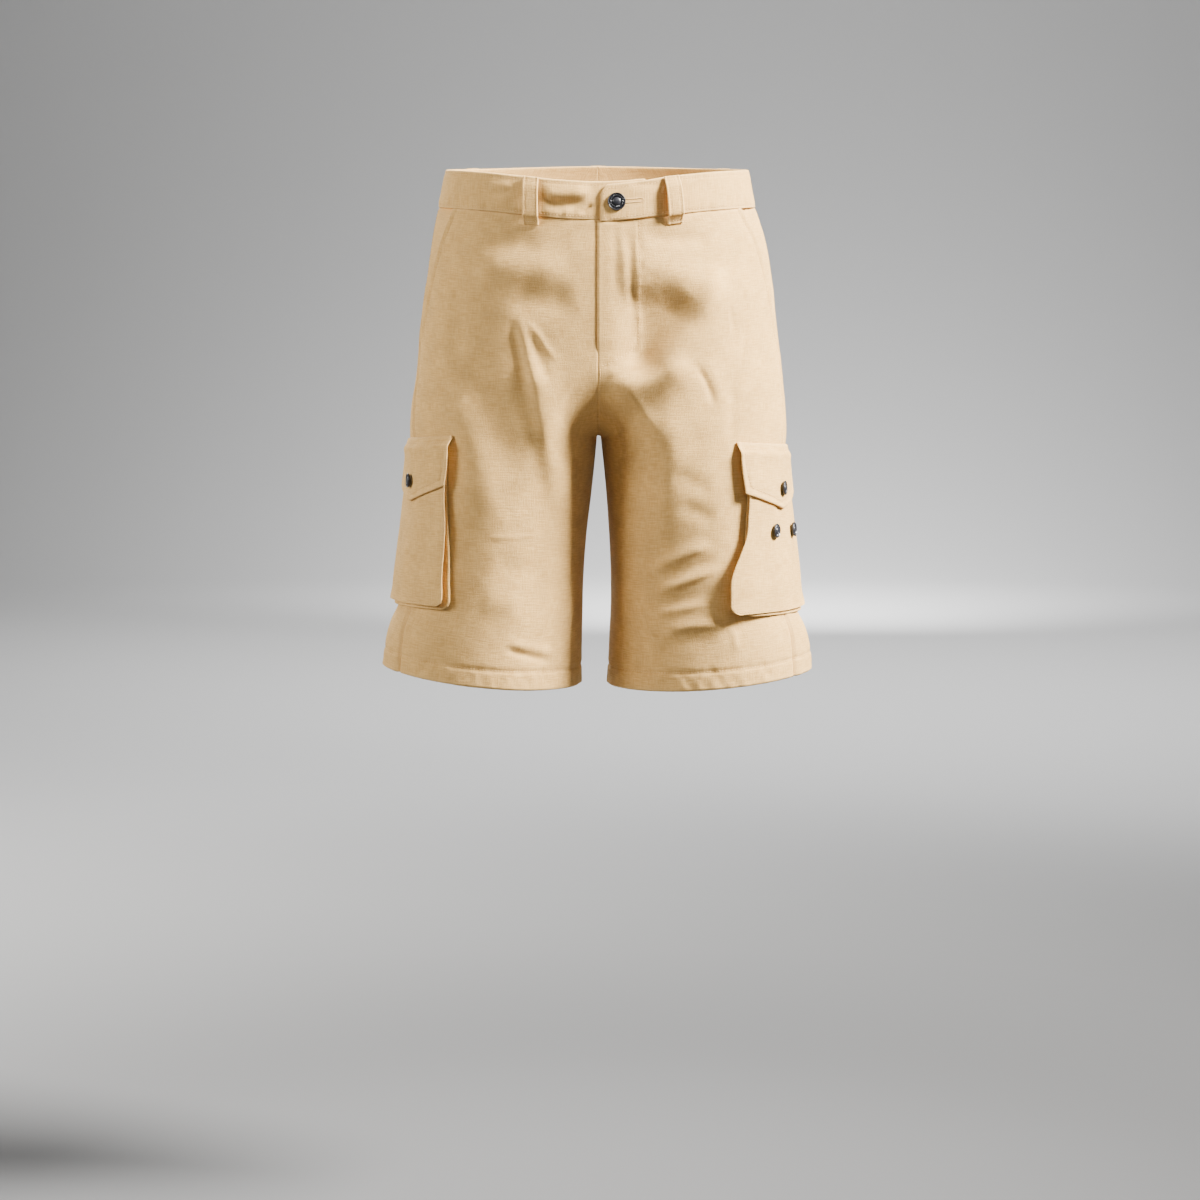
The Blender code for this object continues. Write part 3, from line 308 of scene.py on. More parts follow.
# The broad unevenness of worn cloth, from wide and high spots to small low ones.
WAVE_COLUMNS = ("slant", "wide", "high", "seed", "height")
WAVES = (
    (0.3, 0.060, 0.090, 11, 0.00100),
    (-0.5, 0.024, 0.040, 21, 0.00050),
    (0.4, 0.009, 0.012, 31, 0.00012),
)
LATTICE = (97, 89)
LATTICE_MIDDLE = 400.0
BAND_WAVES, WAVES_FROM, WAVES_SPREAD, WAVES_END = 0.25, 0.004, 0.030, 0.3

SKIN_COLUMNS = 401
SEAM_HALF = 0.00002
# Rows down the back's crotch curve lie closer together towards the crotch.
CROTCH_ANGLES = np.radians(np.linspace(0, 90, 61)[1:-6])
CROTCH_ROWS = BACK_CURVE + (CROTCH_DROP - BACK_CURVE) * np.sin(CROTCH_ANGLES)
SKIN_DROPS = np.concatenate([
    np.linspace(-BAND_HEIGHT - 0.004, BACK_CURVE, 128), CROTCH_ROWS,
    np.linspace(CROTCH_DROP, HEM_DROP, 182),
])


def smooth(x):
    """Rises from 0 to 1 as x does, with level ends."""
    x = np.clip(x, 0.0, 1.0)
    return x * x * (3.0 - 2.0 * x)


def unit(vectors):
    """The vectors at length 1."""
    return vectors / np.maximum(np.linalg.norm(vectors, axis=-1, keepdims=True), 1e-12)


def ridge(distance, width):
    """A soft ridge 1 high, at a distance from its crest."""
    return np.exp(-((distance / width) ** 2))


def section(column, drop):
    """A size of the body at a drop, on a smooth curve through the rows of SECTIONS."""
    rows = np.array(SECTIONS)
    drops, sizes = rows[:, 0], rows[:, SECTION_COLUMNS.index(column)]
    slopes = np.gradient(sizes, drops)
    low = np.clip(np.searchsorted(drops, drop) - 1, 0, len(drops) - 2)
    step = drops[low + 1] - drops[low]
    x = np.clip((drop - drops[low]) / step, 0.0, 1.0)
    lower = sizes[low] * (1 + 2 * x) * (1 - x) ** 2 + slopes[low] * step * x * (1 - x) ** 2
    upper = sizes[low + 1] * x**2 * (3 - 2 * x) + slopes[low + 1] * step * x**2 * (x - 1)
    return lower + upper


def run_along(points):
    """How far along a curve each of its points lies."""
    steps = np.linalg.norm(np.diff(points, axis=0), axis=1)
    return np.concatenate([[0.0], np.cumsum(steps)])


def at_run(points, along, places):
    """Points of a curve at some distances along it."""
    return np.stack([np.interp(places, along, column) for column in points.T], axis=-1)


def evenly(points, count, turn=0.0):
    """The curve through points, as count points at even steps along it. A closed one can be
    turned, so that it starts and ends a distance further on."""
    along = run_along(points)
    places = np.linspace(0.0, along[-1], count)
    if turn > 0:
        places = (places + turn) % along[-1]
    return at_run(points, along, places)



def half_plan(drop, out, inner, end, crest, depth, square, curve):
    """Front or back half of a row's plan, from its end at centre front or the inseam, straight to
    where the cloth meets the thigh, over the crest of the thigh and round to the side."""
    round_crotch = np.clip((drop - curve) / (CROTCH_DROP - curve), 0.0, 1.0)
    notch = math.cos(math.asin(round_crotch))
    thigh = np.linspace(2 * math.atan(notch), math.pi / 2, 400)
    side = np.linspace(math.pi / 2, 0.0, 600)
    x = np.concatenate([
        [end],
        crest - (crest - inner) * np.cos(thigh),
        crest + (out - crest) * np.cos(side) ** (2 / square),
    ])
    y = depth * np.concatenate([[notch], np.sin(thigh), np.sin(side) ** (2 / square)])
    return np.stack([x, y], axis=1)


def row_plan(side, drop):
    """Plan of one row: half the body above the crotch curve, a whole leg below it."""
    word = "left" if side == LEFT else "right"
    out, inner = section(f"out_{word}", drop), max(section(f"in_{word}", drop), 0.0)
    end = inner if drop >= CROTCH_DROP else 0.0
    crest = (out + inner) / 2 * smooth((drop - LEG_START) / (LEG_FORMED - LEG_START))
    square = section("square", drop)
    front = half_plan(drop, out, inner, end, crest, section("front", drop), square, FRONT_CURVE)
    back = half_plan(drop, out, inner, end, crest, section("back", drop), square, BACK_CURVE)
    plan = np.concatenate([front * (1, -1), back[::-1]])
    return evenly(plan, SKIN_COLUMNS, INSEAM_TURN * smooth((drop - CROTCH_DROP) / TURN_LENGTH))


def row_heights(side, drop):
    """Heights along one row, level at the side and rising or falling to its two ends."""
    share = np.linspace(0.0, 1.0, SKIN_COLUMNS)
    power = WAIST_PULL + (LEG_PULL - WAIST_PULL) * smooth(drop / BACK_CURVE)
    waist_rise = np.where(share < 0.5, FRONT_WAIST_RISE, BACK_WAIST_RISE)
    above, below = np.clip(drop / CROTCH_DROP, 0.0, 2.0), drop - CROTCH_DROP
    rise = waist_rise * max(1.0 - above, 0.0)
    rise = rise + INSEAM_HEM_RISE * max(below, 0.0) / (HEM_DROP - CROTCH_DROP)
    sag = LEFT_SAG * smooth((drop - SAG_START) / SAG_LENGTH) if side == LEFT else 0.0
    bow = np.sin(np.clip(share / DIP_SHARE, 0.0, 1.0) * math.pi) ** 2
    dip = HEM_DIP * smooth((drop - DIP_START) / (HEM_DROP - DIP_START)) * bow
    pull = np.abs(np.cos(math.pi * share)) ** power
    return SIDE_Z - drop - dip - sag * (1.0 - pull) + rise * pull


def across_from(row, points, along, spacing):
    """Points of a row that lie straight across from points of the row beside it."""
    column = np.arange(len(row), dtype=float)
    slopes = np.gradient(row, axis=0)
    for _ in range(5):
        low = np.minimum(column.astype(int), len(row) - 2)
        part = (column - low)[:, None]
        rest = 1.0 - part
        met = row[low] * (1 + 2 * part) * rest**2 + slopes[low] * part * rest**2
        met += row[low + 1] * part**2 * (1 + 2 * rest) - slopes[low + 1] * part**2 * rest
        ahead = ((met - points) * along).sum(axis=1) / spacing
        column = np.clip(column - ahead, 0.0, len(row) - 1.0)
    return met


def facing_out(points, side):
    """Outward normals of a grid of rows that run down, each from front to back."""
    along = unit(np.gradient(points, axis=1))
    spacing = np.linalg.norm(np.diff(points, axis=1), axis=2).mean(axis=1)
    normals = np.zeros(points.shape)
    last = len(points) - 1
    for r, row in enumerate(points):
        above, below = max(r - 1, 0), min(r + 1, last)
        upper = across_from(points[above], row, along[r], spacing[above])
        lower = across_from(points[below], row, along[r], spacing[below])
        normals[r] = np.cross(lower - upper, along[r]) * side
    return unit(normals)


def course_distance(across, up, course):
    """Distance of each point from a fold's course, the share of the course passed there, and
    whether the point is on the left of it, 1, or on the right, -1."""
    best = np.full(across.shape, np.inf)
    share, hand = np.zeros(across.shape), np.ones(across.shape)
    for k, (a, b) in enumerate(zip(course, course[1:])):
        step = b - a
        part = np.clip(((across - a[0]) * step[0] + (up - a[1]) * step[1]) / (step @ step), 0, 1)
        away_x, away_z = across - a[0] - part * step[0], up - a[1] - part * step[1]
        distance = np.hypot(away_x, away_z)
        nearer = distance < best
        best = np.where(nearer, distance, best)
        share = np.where(nearer, (k + part) / (len(course) - 1), share)
        hand = np.where(nearer, np.sign(step[0] * away_z - step[1] * away_x), hand)
    return best, share, hand


def fold_heights(points, normals, side):
    """How far the folds of one side lift each point of its skin."""
    total = np.zeros(points.shape[:2])
    across, up = np.abs(points[..., 0]), points[..., 2]
    t = np.linspace(0.0, 1.0, FOLD_STEPS)
    weights = dict(start=(1 - t) ** 2, bend=2 * t * (1 - t), end=t**2)
    for face, way in (("front", -1), ("back", 1)):
        towards = normals[..., 1] * way
        for fold in FOLDS[side, face]:
            row = dict(zip(FOLD_COLUMNS, fold))
            course = np.stack([
                sum(weight * row[f"{place}_{axis}"] for place, weight in weights.items())
                for axis in "xz"
            ], axis=1)
            reach = row["width"] * FOLD_REACH
            (least, low), (most, high) = course.min(axis=0) - reach, course.max(axis=0) + reach
            near = (towards > FACE_LIMIT) & (across > least) & (across < most)
            near &= (up > low) & (up < high)
            distance, share, hand = course_distance(across[near], up[near], course)
            fade = smooth(np.minimum(share, 1.0 - share) / FOLD_FADE)
            shape = ridge(distance, row["width"] * (1.0 - row["lean"] * hand))
            total[near] += row["height"] * shape * fade * smooth(towards[near] / FACE_FULL)
    return total


def uneven(u, v, size_u, size_v, seed):
    """Smooth unevenness from -1 to 1 over the flat cloth, of spots about that wide and high."""
    lattice = np.random.default_rng(seed).uniform(-1.0, 1.0, LATTICE)
    x, y = u / size_u + LATTICE_MIDDLE, v / size_v + LATTICE_MIDDLE
    column, row = np.floor(x).astype(int), np.floor(y).astype(int)
    right, down = smooth(x - column), smooth(y - row)

    def spot(c, r):
        return lattice[(column + c) % LATTICE[0], (row + r) % LATTICE[1]]

    upper = spot(0, 0) * (1 - right) + spot(1, 0) * right
    lower = spot(0, 1) * (1 - right) + spot(1, 1) * right
    return upper * (1 - down) + lower * down


def soft_waves(side, lengths, seam):
    """The broad unevenness of the worn cloth, in rows and columns of a skin whose side seam lies
    at those shares of its rows."""
    share = np.linspace(0.0, 1.0, SKIN_COLUMNS)[None, :]
    u = (share - seam[:, None]) * lengths[:, None]
    v = np.repeat(SKIN_DROPS[:, None], SKIN_COLUMNS, axis=1)
    total = np.zeros(v.shape)
    for row in WAVES:
        wave = dict(zip(WAVE_COLUMNS, row))
        spots = uneven(u + wave["slant"] * v, v, wave["wide"], wave["high"], wave["seed"] + side)
        total += wave["height"] * spots
    worn = BAND_WAVES + (1 - BAND_WAVES) * smooth((v - WAVES_FROM) / WAVES_SPREAD)
    return total * worn * np.abs(np.sin(math.pi * share)) ** WAVES_END


def place_shares(plan, seam_depth):
    """Shares of a row at which its guides and its side seam lie."""
    share = np.linspace(0.0, 1.0, SKIN_COLUMNS)
    outermost = plan[:, 0].argmax()
    before, after = plan[:outermost + 1, 0], plan[:outermost - 1:-1, 0]
    near_side = plan[:, 0] > plan[outermost, 0] * GUIDE_SHARE
    return (
        np.interp(GUIDE, np.maximum.accumulate(before), share[:outermost + 1]),
        np.interp(-seam_depth, plan[near_side, 1], share[near_side]),
        np.interp(GUIDE, np.maximum.accumulate(after), share[:outermost - 1:-1]),
    )


def make_skin(side):
    """One half of the garment as a fine grid of points and normals, with its folds."""
    plans = np.stack([row_plan(side, drop) for drop in SKIN_DROPS])
    heights = np.stack([row_heights(side, drop) for drop in SKIN_DROPS])
    points = np.dstack([(plans[..., 0] + SEAM_HALF) * side, plans[..., 1], heights])
    lengths = np.linalg.norm(np.diff(points, axis=1), axis=2).sum(axis=1)
    normals = facing_out(points, side)
    shares = [place_shares(plan, section("seam", drop)) for plan, drop in zip(plans, SKIN_DROPS)]
    front_guide, seam, back_guide = np.transpose(shares)
    lift = fold_heights(points, normals, side) + soft_waves(side, lengths, seam)
    points += normals * lift[..., None]
    points[..., 0] = np.maximum(points[..., 0] * side, SEAM_HALF) * side
    normals = facing_out(points, side)
    leg = SKIN_DROPS >= CROTCH_DROP
    shared = unit(normals[leg, 0] + normals[leg, -1])
    normals[leg, 0], normals[leg, -1] = shared, shared
    for end in (0, -1):
        normals[~leg, end, 0] = 0.0
        normals[~leg, end] = unit(normals[~leg, end])
    return {
        "points": points, "normals": normals, "length": lengths,
        "front_guide": front_guide, "seam": seam, "back_guide": back_guide,
    }


SKINS = {side: make_skin(side) for side in (LEFT, RIGHT)}


def along_row(side, what, drop):
    """A row's length, or the share of it at which the side seam or a guide lies."""
    return np.interp(drop, SKIN_DROPS, SKINS[side][what])


def by_seam(side, behind, drop):
    """The share of a row at a distance behind the side seam."""
    return along_row(side, "seam", drop) + behind / along_row(side, "length", drop)


def on_skin(side, share, drop, lift):
    """Points of one skin, moved out along its normals by lift."""
    skin = SKINS[side]
    share, drop, lift = np.broadcast_arrays(share, drop, lift)
    row = np.interp(drop, SKIN_DROPS, np.arange(len(SKIN_DROPS)))
    column = np.clip(share, 0.0, 1.0) * (SKIN_COLUMNS - 1)
    r = np.minimum(row.astype(int), len(SKIN_DROPS) - 2)
    c = np.minimum(column.astype(int), SKIN_COLUMNS - 2)
    down, along = (row - r)[..., None], (column - c)[..., None]

    def between(grid):
        upper = grid[r, c] * (1 - along) + grid[r, c + 1] * along
        lower = grid[r + 1, c] * (1 - along) + grid[r + 1, c + 1] * along
        return upper * (1 - down) + lower * down

    return between(skin["points"]) + unit(between(skin["normals"])) * lift[..., None]


def from_centre(distance, drop, lift, back=False):
    """Points at a distance from centre front or back, above zero on the wearer's left."""
    distance, drop, lift = np.broadcast_arrays(distance, drop, lift)
    sides = []
    for side in (LEFT, RIGHT):
        share = np.abs(distance) / along_row(side, "length", drop)
        sides.append(on_skin(side, 1.0 - share if back else share, drop, lift))
    return np.where((distance > 0)[..., None], sides[0], sides[1])


# The weave: warp and weft of slightly uneven yarn, with slubs both ways, in real metres of cloth,
# and painted shade in the gaps between the yarns.
WEAVE_SOCKETS = (
    ("Place", "INPUT", "Vector"),
    ("Yarns per Metre", "INPUT", "Float"),
    ("Slub", "INPUT", "Float"),
    ("Yarn Colour", "INPUT", "Color"),
    ("Slub Colour", "INPUT", "Color"),
    ("Gap Shade Colour", "INPUT", "Color"),
    ("Colour", "OUTPUT", "Color"),
    ("Roughness", "OUTPUT", "Float"),
    ("Height", "OUTPUT", "Float"),
)
YARN_WAVER, YARN_SLACK, YARN_CROWN = 260.0, 0.0007, 0.6
SLUBS_ALONG, SLUBS_ACROSS = (70.0, 1100.0, 1.0), (900.0, 90.0, 1.0)
ALONG_SHARE, ACROSS_SHARE, SLUB_THIN, SLUB_THICK = 0.6, 0.4, 0.41, 0.59
GAP_SHADE = 0.35
PATCH_SCALE, PATCH_LOW, PATCH_HIGH, PATCH_DARK, PATCH_PALE = 42.0, 0.3, 0.7, 0.87, 1.11
CROWN_HEIGHT, SLUB_HEIGHT = 0.55, 0.45
GAP_ROUGHNESS, CROWN_SHINE = 0.92, 0.08
YARNS_PER_METRE = 1300.0
# The yarn, the slubs, and the painted shade of the gaps between the yarns.
CANVAS_COLOURS = ((0.570, 0.328, 0.096, 1), (0.790, 0.505, 0.185, 1), (0.320, 0.160, 0.034, 1))
CANVAS_SLUB = 0.62
CANVAS_WORN, WORN_SHARE, WORN_SPECKS = (0.770, 0.510, 0.215, 1), 0.5, 700.0
YARN_RELIEF, RELIEF_STRENGTH = 0.00035, 0.7
NAP = {
    "Sheen Weight": 0.10,
    "Sheen Tint": (1.0, 0.86, 0.62, 1),
    "Sheen Roughness": 0.45,
    "Specular IOR Level": 0.22,
}


def sum_of(tree, operation, *terms):
    """The output of a Math node over one, two or three terms."""
    return node(tree, "Math", enumerate(terms), operation=operation).outputs[0]


def vector_of(tree, operation, inputs):
    """The output of a Vector Math node."""
    return node(tree, "VectorMath", inputs, operation=operation).outputs[0]


def noise(tree, **inputs):
    """A noise of a scale, at a place."""
    return node(tree, "TexNoise", inputs)


def between_colours(tree, share, first, second):
    """A colour from the first to the second, by share."""
    return node(tree, "Mix", {0: share, 6: first, 7: second}, data_type="RGBA").outputs[2]


def make_weave():
    """Colour, roughness and height of a plain weave from the place on the cloth."""
    group = bpy.data.node_groups.new("plain_weave", "ShaderNodeTree")
    for name, way, kind in WEAVE_SOCKETS:
        group.interface.new_socket(name=name, in_out=way, socket_type=f"NodeSocket{kind}")
    given = group.nodes.new("NodeGroupInput").outputs
    place = given["Place"]
    waver = noise(group, Vector=place, Scale=YARN_WAVER, Detail=1.0).outputs["Color"]
    bend = vector_of(group, "ADD", {0: waver, 1: (-0.5, -0.5, -0.5)})
    slack = vector_of(group, "SCALE", {0: bend, "Scale": YARN_SLACK})
    bent = vector_of(group, "ADD", {0: place, 1: slack})
    counted = vector_of(group, "SCALE", {0: bent, "Scale": given["Yarns per Metre"]})
    parts = node(group, "SeparateXYZ", {0: counted}).outputs
    warp, weft = (
        sum_of(group, "SINE", sum_of(group, "MULTIPLY", parts[axis], math.pi)) for axis in "XY"
    )
    crossing = sum_of(group, "ABSOLUTE", sum_of(group, "MULTIPLY", warp, weft))
    crown = sum_of(group, "POWER", crossing, YARN_CROWN)
    along, across = (
        noise(
            group, Vector=vector_of(group, "MULTIPLY", {0: place, 1: stretch}),
            Scale=1.0, Detail=2.0, Roughness=0.6,
        ).outputs["Fac"]
        for stretch in (SLUBS_ALONG, SLUBS_ACROSS)
    )
    both = sum_of(group, "MULTIPLY", across, ACROSS_SHARE)
    both = sum_of(group, "MULTIPLY_ADD", along, ALONG_SHARE, both)
    strong = node(group, "MapRange", enumerate((both, SLUB_THIN, SLUB_THICK))).outputs[0]
    slub = sum_of(group, "MULTIPLY", strong, given["Slub"])
    yarn = between_colours(group, slub, given["Yarn Colour"], given["Slub Colour"])
    # Painted shade: the gaps between the yarns are mixed towards the darker gap shade colour.
    gap_shade = sum_of(group, "MULTIPLY", sum_of(group, "SUBTRACT", 1.0, crown), GAP_SHADE)
    woven = between_colours(group, gap_shade, yarn, given["Gap Shade Colour"])
    patches = noise(group, Vector=place, Scale=PATCH_SCALE, Detail=6.0, Roughness=0.72)
    limits = (patches.outputs["Fac"], PATCH_LOW, PATCH_HIGH, PATCH_DARK, PATCH_PALE)
    fade = node(group, "MapRange", enumerate(limits))
    faded = node(group, "HueSaturation", {"Color": woven, "Value": fade.outputs[0]})
    shine = sum_of(group, "MULTIPLY", crown, CROWN_SHINE)
    raised = sum_of(group, "MULTIPLY", strong, SLUB_HEIGHT)
    give(group, group.nodes.new("NodeGroupOutput"), {
        "Colour": faded.outputs[0],
        "Roughness": sum_of(group, "SUBTRACT", GAP_ROUGHNESS, shine),
        "Height": sum_of(group, "MULTIPLY_ADD", crown, CROWN_HEIGHT, raised),
    })
    return group


WEAVE = make_weave()


def make_canvas(name, colours, slub):
    """Cotton canvas: the weave, a little paler along worn edges, with a soft nap. The colours are
    those of the yarn, the slubs and the painted shade in the gaps between the yarns."""
    made, tree, shader = new_finish(name)
    cut = node(tree, "UVMap", uv_map="flat_cut").outputs["UV"]
    yarn, slubs, gap_shade = colours
    weave = node(tree, "Group", node_tree=WEAVE)
    give(tree, weave, {
        "Place": cut, "Yarns per Metre": YARNS_PER_METRE, "Slub": slub, "Yarn Colour": yarn,
        "Slub Colour": slubs, "Gap Shade Colour": gap_shade,
    })
    edge = node(tree, "Attribute", attribute_name="worn").outputs["Fac"]
    speck = noise(tree, Vector=cut, Scale=WORN_SPECKS).outputs["Fac"]
    worn = sum_of(tree, "MULTIPLY", edge, sum_of(tree, "MULTIPLY", speck, WORN_SHARE))
    bump = node(tree, "Bump", {
        "Height": weave.outputs["Height"], "Distance": YARN_RELIEF, "Strength": RELIEF_STRENGTH,
    })
    give(tree, shader, {
        "Base Color": between_colours(tree, worn, weave.outputs["Colour"], CANVAS_WORN),
        "Roughness": weave.outputs["Roughness"], "Normal": bump.outputs[0], **NAP,
    })
    return made


CANVAS = make_canvas("sand_canvas", CANVAS_COLOURS, CANVAS_SLUB)
RIM_ROUND, WORN_BESIDE, WORN_WITHIN = 0.4, 0.35, 0.6
SAME_PLACE = 1e-5


def mesh_of(name, corners, faces, worn):
    """A mesh of corners and faces, with the wear of each corner."""
    mesh = bpy.data.meshes.new(name)
    mesh.from_pydata(corners.reshape(-1, 3).tolist(), [], faces.reshape(-1, 4).tolist())
    mark = mesh.attributes.new("worn", "FLOAT", "POINT")
    mark.data.foreach_set("value", worn.astype(np.float32))
    return mesh


def join_up(mesh):
    """Joins a mesh's doubled corners and turns its faces outward."""
    build = bmesh.new()
    build.from_mesh(mesh)
    bmesh.ops.remove_doubles(build, verts=build.verts, dist=1e-6)
    bmesh.ops.recalc_face_normals(build, faces=build.faces)
    build.to_mesh(mesh)
    build.free()


def cloth_piece(
    name, place, lift, thick, cut, area=None,
    finish=CANVAS,
):
    """A closed wall of cloth with a rounded edge, standing in for the model's piece of that name,
    which it hides. place gives its points at a lift, and cut has their two places in the flat
    cut. An area of 0 is measured there, but no area is kept or used."""
    outer, inner = place(lift), place(lift - thick)
    rows, columns = outer.shape[:2]
    count = rows * columns
    index = np.arange(count).reshape(rows, columns)
    quads = np.stack([index[:-1, :-1], index[:-1, 1:], index[1:, 1:], index[1:, :-1]], axis=-1)
    quads = quads.reshape(-1, 4)
    rim = np.concatenate([index[0], index[1:, -1], index[-1, -2::-1], index[-2:0:-1, 0]])
    inside_row = np.clip(rim // columns, 1, rows - 2)
    inside_column = np.clip(rim % columns, 1, columns - 2)
    flat_outer, flat_inner = outer.reshape(-1, 3), inner.reshape(-1, 3)
    for _ in range(columns):
        inside = index[inside_row, inside_column]
        joined = np.linalg.norm(flat_outer[rim] - flat_outer[inside], axis=1) < SAME_PLACE
        inside_column = inside_column + joined * np.sign(columns // 2 - inside_column)
    edge_thick = np.linalg.norm(flat_outer[rim] - flat_inner[rim], axis=1, keepdims=True)
    away = unit(flat_outer[rim] - flat_outer[inside])
    middle = (flat_outer[rim] + flat_inner[rim]) / 2 + away * edge_thick * RIM_ROUND
    edge = np.arange(len(rim)) + 2 * count
    next_rim, next_edge = np.roll(rim, -1), np.roll(edge, -1)
    faces = np.concatenate([
        quads, quads[:, ::-1] + count,
        np.stack([rim, edge, next_edge, next_rim], axis=1),
        np.stack([edge, rim + count, next_rim + count, next_edge], axis=1),
    ])
    places = np.dstack(cut).reshape(-1, 2)
    places = np.concatenate([places, places, places[rim]])
    worn = np.zeros(len(places))
    worn[inside] = WORN_BESIDE
    worn[rim], worn[edge], worn[rim + count] = 1.0, 1.0, WORN_WITHIN
    corners = np.concatenate([flat_outer, flat_inner, middle])
    mesh = mesh_of(f"{name}_cloth", corners, faces, worn)
    layer = mesh.uv_layers.new(name="flat_cut")
    layer.data.foreach_set("uv", places[faces.ravel()].astype(np.float32).ravel())
    join_up(mesh)
    if area == 0:
        first, second = (places[quads[:, k + 2]] - places[quads[:, k]] for k in (0, 1))
        area = float(np.abs(first[:, 0] * second[:, 1] - first[:, 1] * second[:, 0]).sum()) / 2
    piece = finished(f"{name}_cloth", mesh, finish)
    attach(piece, "root")
    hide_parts(name)
    return piece


# The stitched line of the fly, as distances from centre front and drops, straight and then curved.
FLY_COURSE = evenly(np.array([
    (0.0405, 0.0030), (0.0405, 0.1220), (0.0390, 0.1290), (0.0340, 0.1340), (0.0250, 0.1390),
    (0.0140, 0.1455), (0.0030, 0.1500),
]), 90)
STEP, LEAST_STEP, HEM_STEP = 0.0021, 0.00063, 0.0012
PANEL_DROPS = np.concatenate([
    np.linspace(GAP, BACK_CURVE, 58), CROTCH_ROWS,
    np.linspace(CROTCH_DROP, HEM_DROP - HEM_DEPTH, 96)[:-1],
    np.linspace(HEM_DROP - HEM_DEPTH, HEM_DROP, 11),
])
MOUTH_WIDTH, MOUTH_DROP = 0.0480, 0.1350
FLY_DROP, FLY_PROUD, FLY_WIDTH, FLY_UNDER = 0.1400, 0.0012, 0.0340, 0.0060
UNDER_END, UNDER_FADE = 0.1180, 0.0140
FLY_START, FLY_FADE = 0.0080, 0.0200
FLY_PUCKER, FLY_PUCKER_WIDTH, FLY_SPOTS = 0.0004, 0.0060, (0.006, 0.0045, 33)
FLY_GROOVE, FLY_GROOVE_WIDTH = 0.0007, 0.0013
UNDERLAP_SUNK, SUNK_WIDTH = -0.0006, 0.0040
LAP_TOP, LAP_BOTTOM = (0.0035, 0.07), (0.0020, 0.05)
OUTER_COLUMNS = 58
# Relief of the sewn edges: each ridge, groove and pucker has a height, a place and a width, and
# the spots of unevenness have a width, a height and a seed.
MOUTH_FADE, MOUTH_RIM, MOUTH_RIM_WIDTH = 0.0060, 0.0008, 0.0080
MOUTH_ROLL_AT, MOUTH_ROLL_WIDTH = 0.0032, 0.00253
MOUTH_GROOVE, MOUTH_GROOVE_AT, MOUTH_GROOVE_WIDTH = 0.0005, 0.00656, 0.00113
SEAM_RISE, SEAM_GROOVE, SEAM_WIDTH = 0.0005, 0.0017, 0.0015
ALLOWANCE, ALLOWANCE_FADE = 0.0110, 0.0040
SEAM_PUCKER, SEAM_PUCKER_WIDTH, SEAM_SPOTS = 0.0004, 0.0080, (1.0, 0.009, 5)
HEM_LINE, HEM_GROOVE, HEM_GROOVE_WIDTH = 0.0015, 0.0013, 0.0016
HEM_PUCKER, HEM_PUCKER_AT, HEM_PUCKER_WIDTH = 0.0006, 0.6, 0.0130
HEM_SPOTS, HEM_SLANT = (0.0075, 0.020, 31), 0.7
HEM_SMALL_SPOTS, HEM_SMALL_SLANT, HEM_SMALL_SHARE = (0.0042, 0.012, 32), -0.4, 0.6
BAND_PRESS, BAND_PRESS_START, BAND_PRESS_WIDTH = 0.0006, 0.0008, 0.0026
BACK_GROOVE, BACK_GROOVE_WIDTH, BACK_FADE = 0.0007, 0.0012, 0.0100
BACK_LAP, BACK_LAP_WIDTH, BACK_LAP_FADE = 0.0004, 0.0090, 0.0020
# Where on the bolt each kind of piece but the fronts is cut, so that no weave is seen twice.
BOLT = {
    "back": 0.5, "facing": 0.9, "band": 1.3, "fly": 1.6, "loop": 1.9, "bellows": 2.2,
    "pocket": 2.6, "flap": 3.0,
}


def end_distance(side, guide_name, drop):
    """Distance along a row from its nearer end to a guide."""
    share = along_row(side, guide_name, drop)
    return np.minimum(share, 1.0 - share) * along_row(side, "length", drop)


def inner_distances(side, guide_name, curve, drop):
    """Distances from a row's end of the columns between it and the guide. Above the crotch curve
    those of the inner thigh have not begun and lie at the end."""
    at_curve = end_distance(side, guide_name, curve)
    farthest = end_distance(side, guide_name, SKIN_DROPS).max()
    thigh = -np.arange(STEP, farthest - at_curve + STEP, STEP)[::-1]
    centre = np.linspace(0.0, at_curve, int(at_curve / STEP))[:-1]
    guide = end_distance(side, guide_name, drop)
    if drop <= curve:
        return np.concatenate([np.zeros(len(thigh)), centre * guide / at_curve])
    distance = guide - at_curve + np.concatenate([thigh, centre])
    distance[distance < LEAST_STEP] = 0.0
    distance[0] = 0.0
    return distance


def lap_sag(distance, sag):
    """How far the overlapping end of the waistband hangs below its line. A sag has a depth and
    a reach."""
    return sag[0] * np.clip(1.0 - distance / sag[1], 0.0, 1.0)


def mouth_distance(drop):
    """Distance of the hip pocket's mouth in front of the side seam."""
    return np.maximum(MOUTH_WIDTH * (1.0 - drop / MOUTH_DROP), GAP / 2)


def panel_cloth(drop):
    """Thickness of a body panel, doubled where the hem is turned up."""
    return CLOTH + (HEM_CLOTH - CLOTH) * smooth((drop - HEM_DROP + HEM_DEPTH) / HEM_STEP)


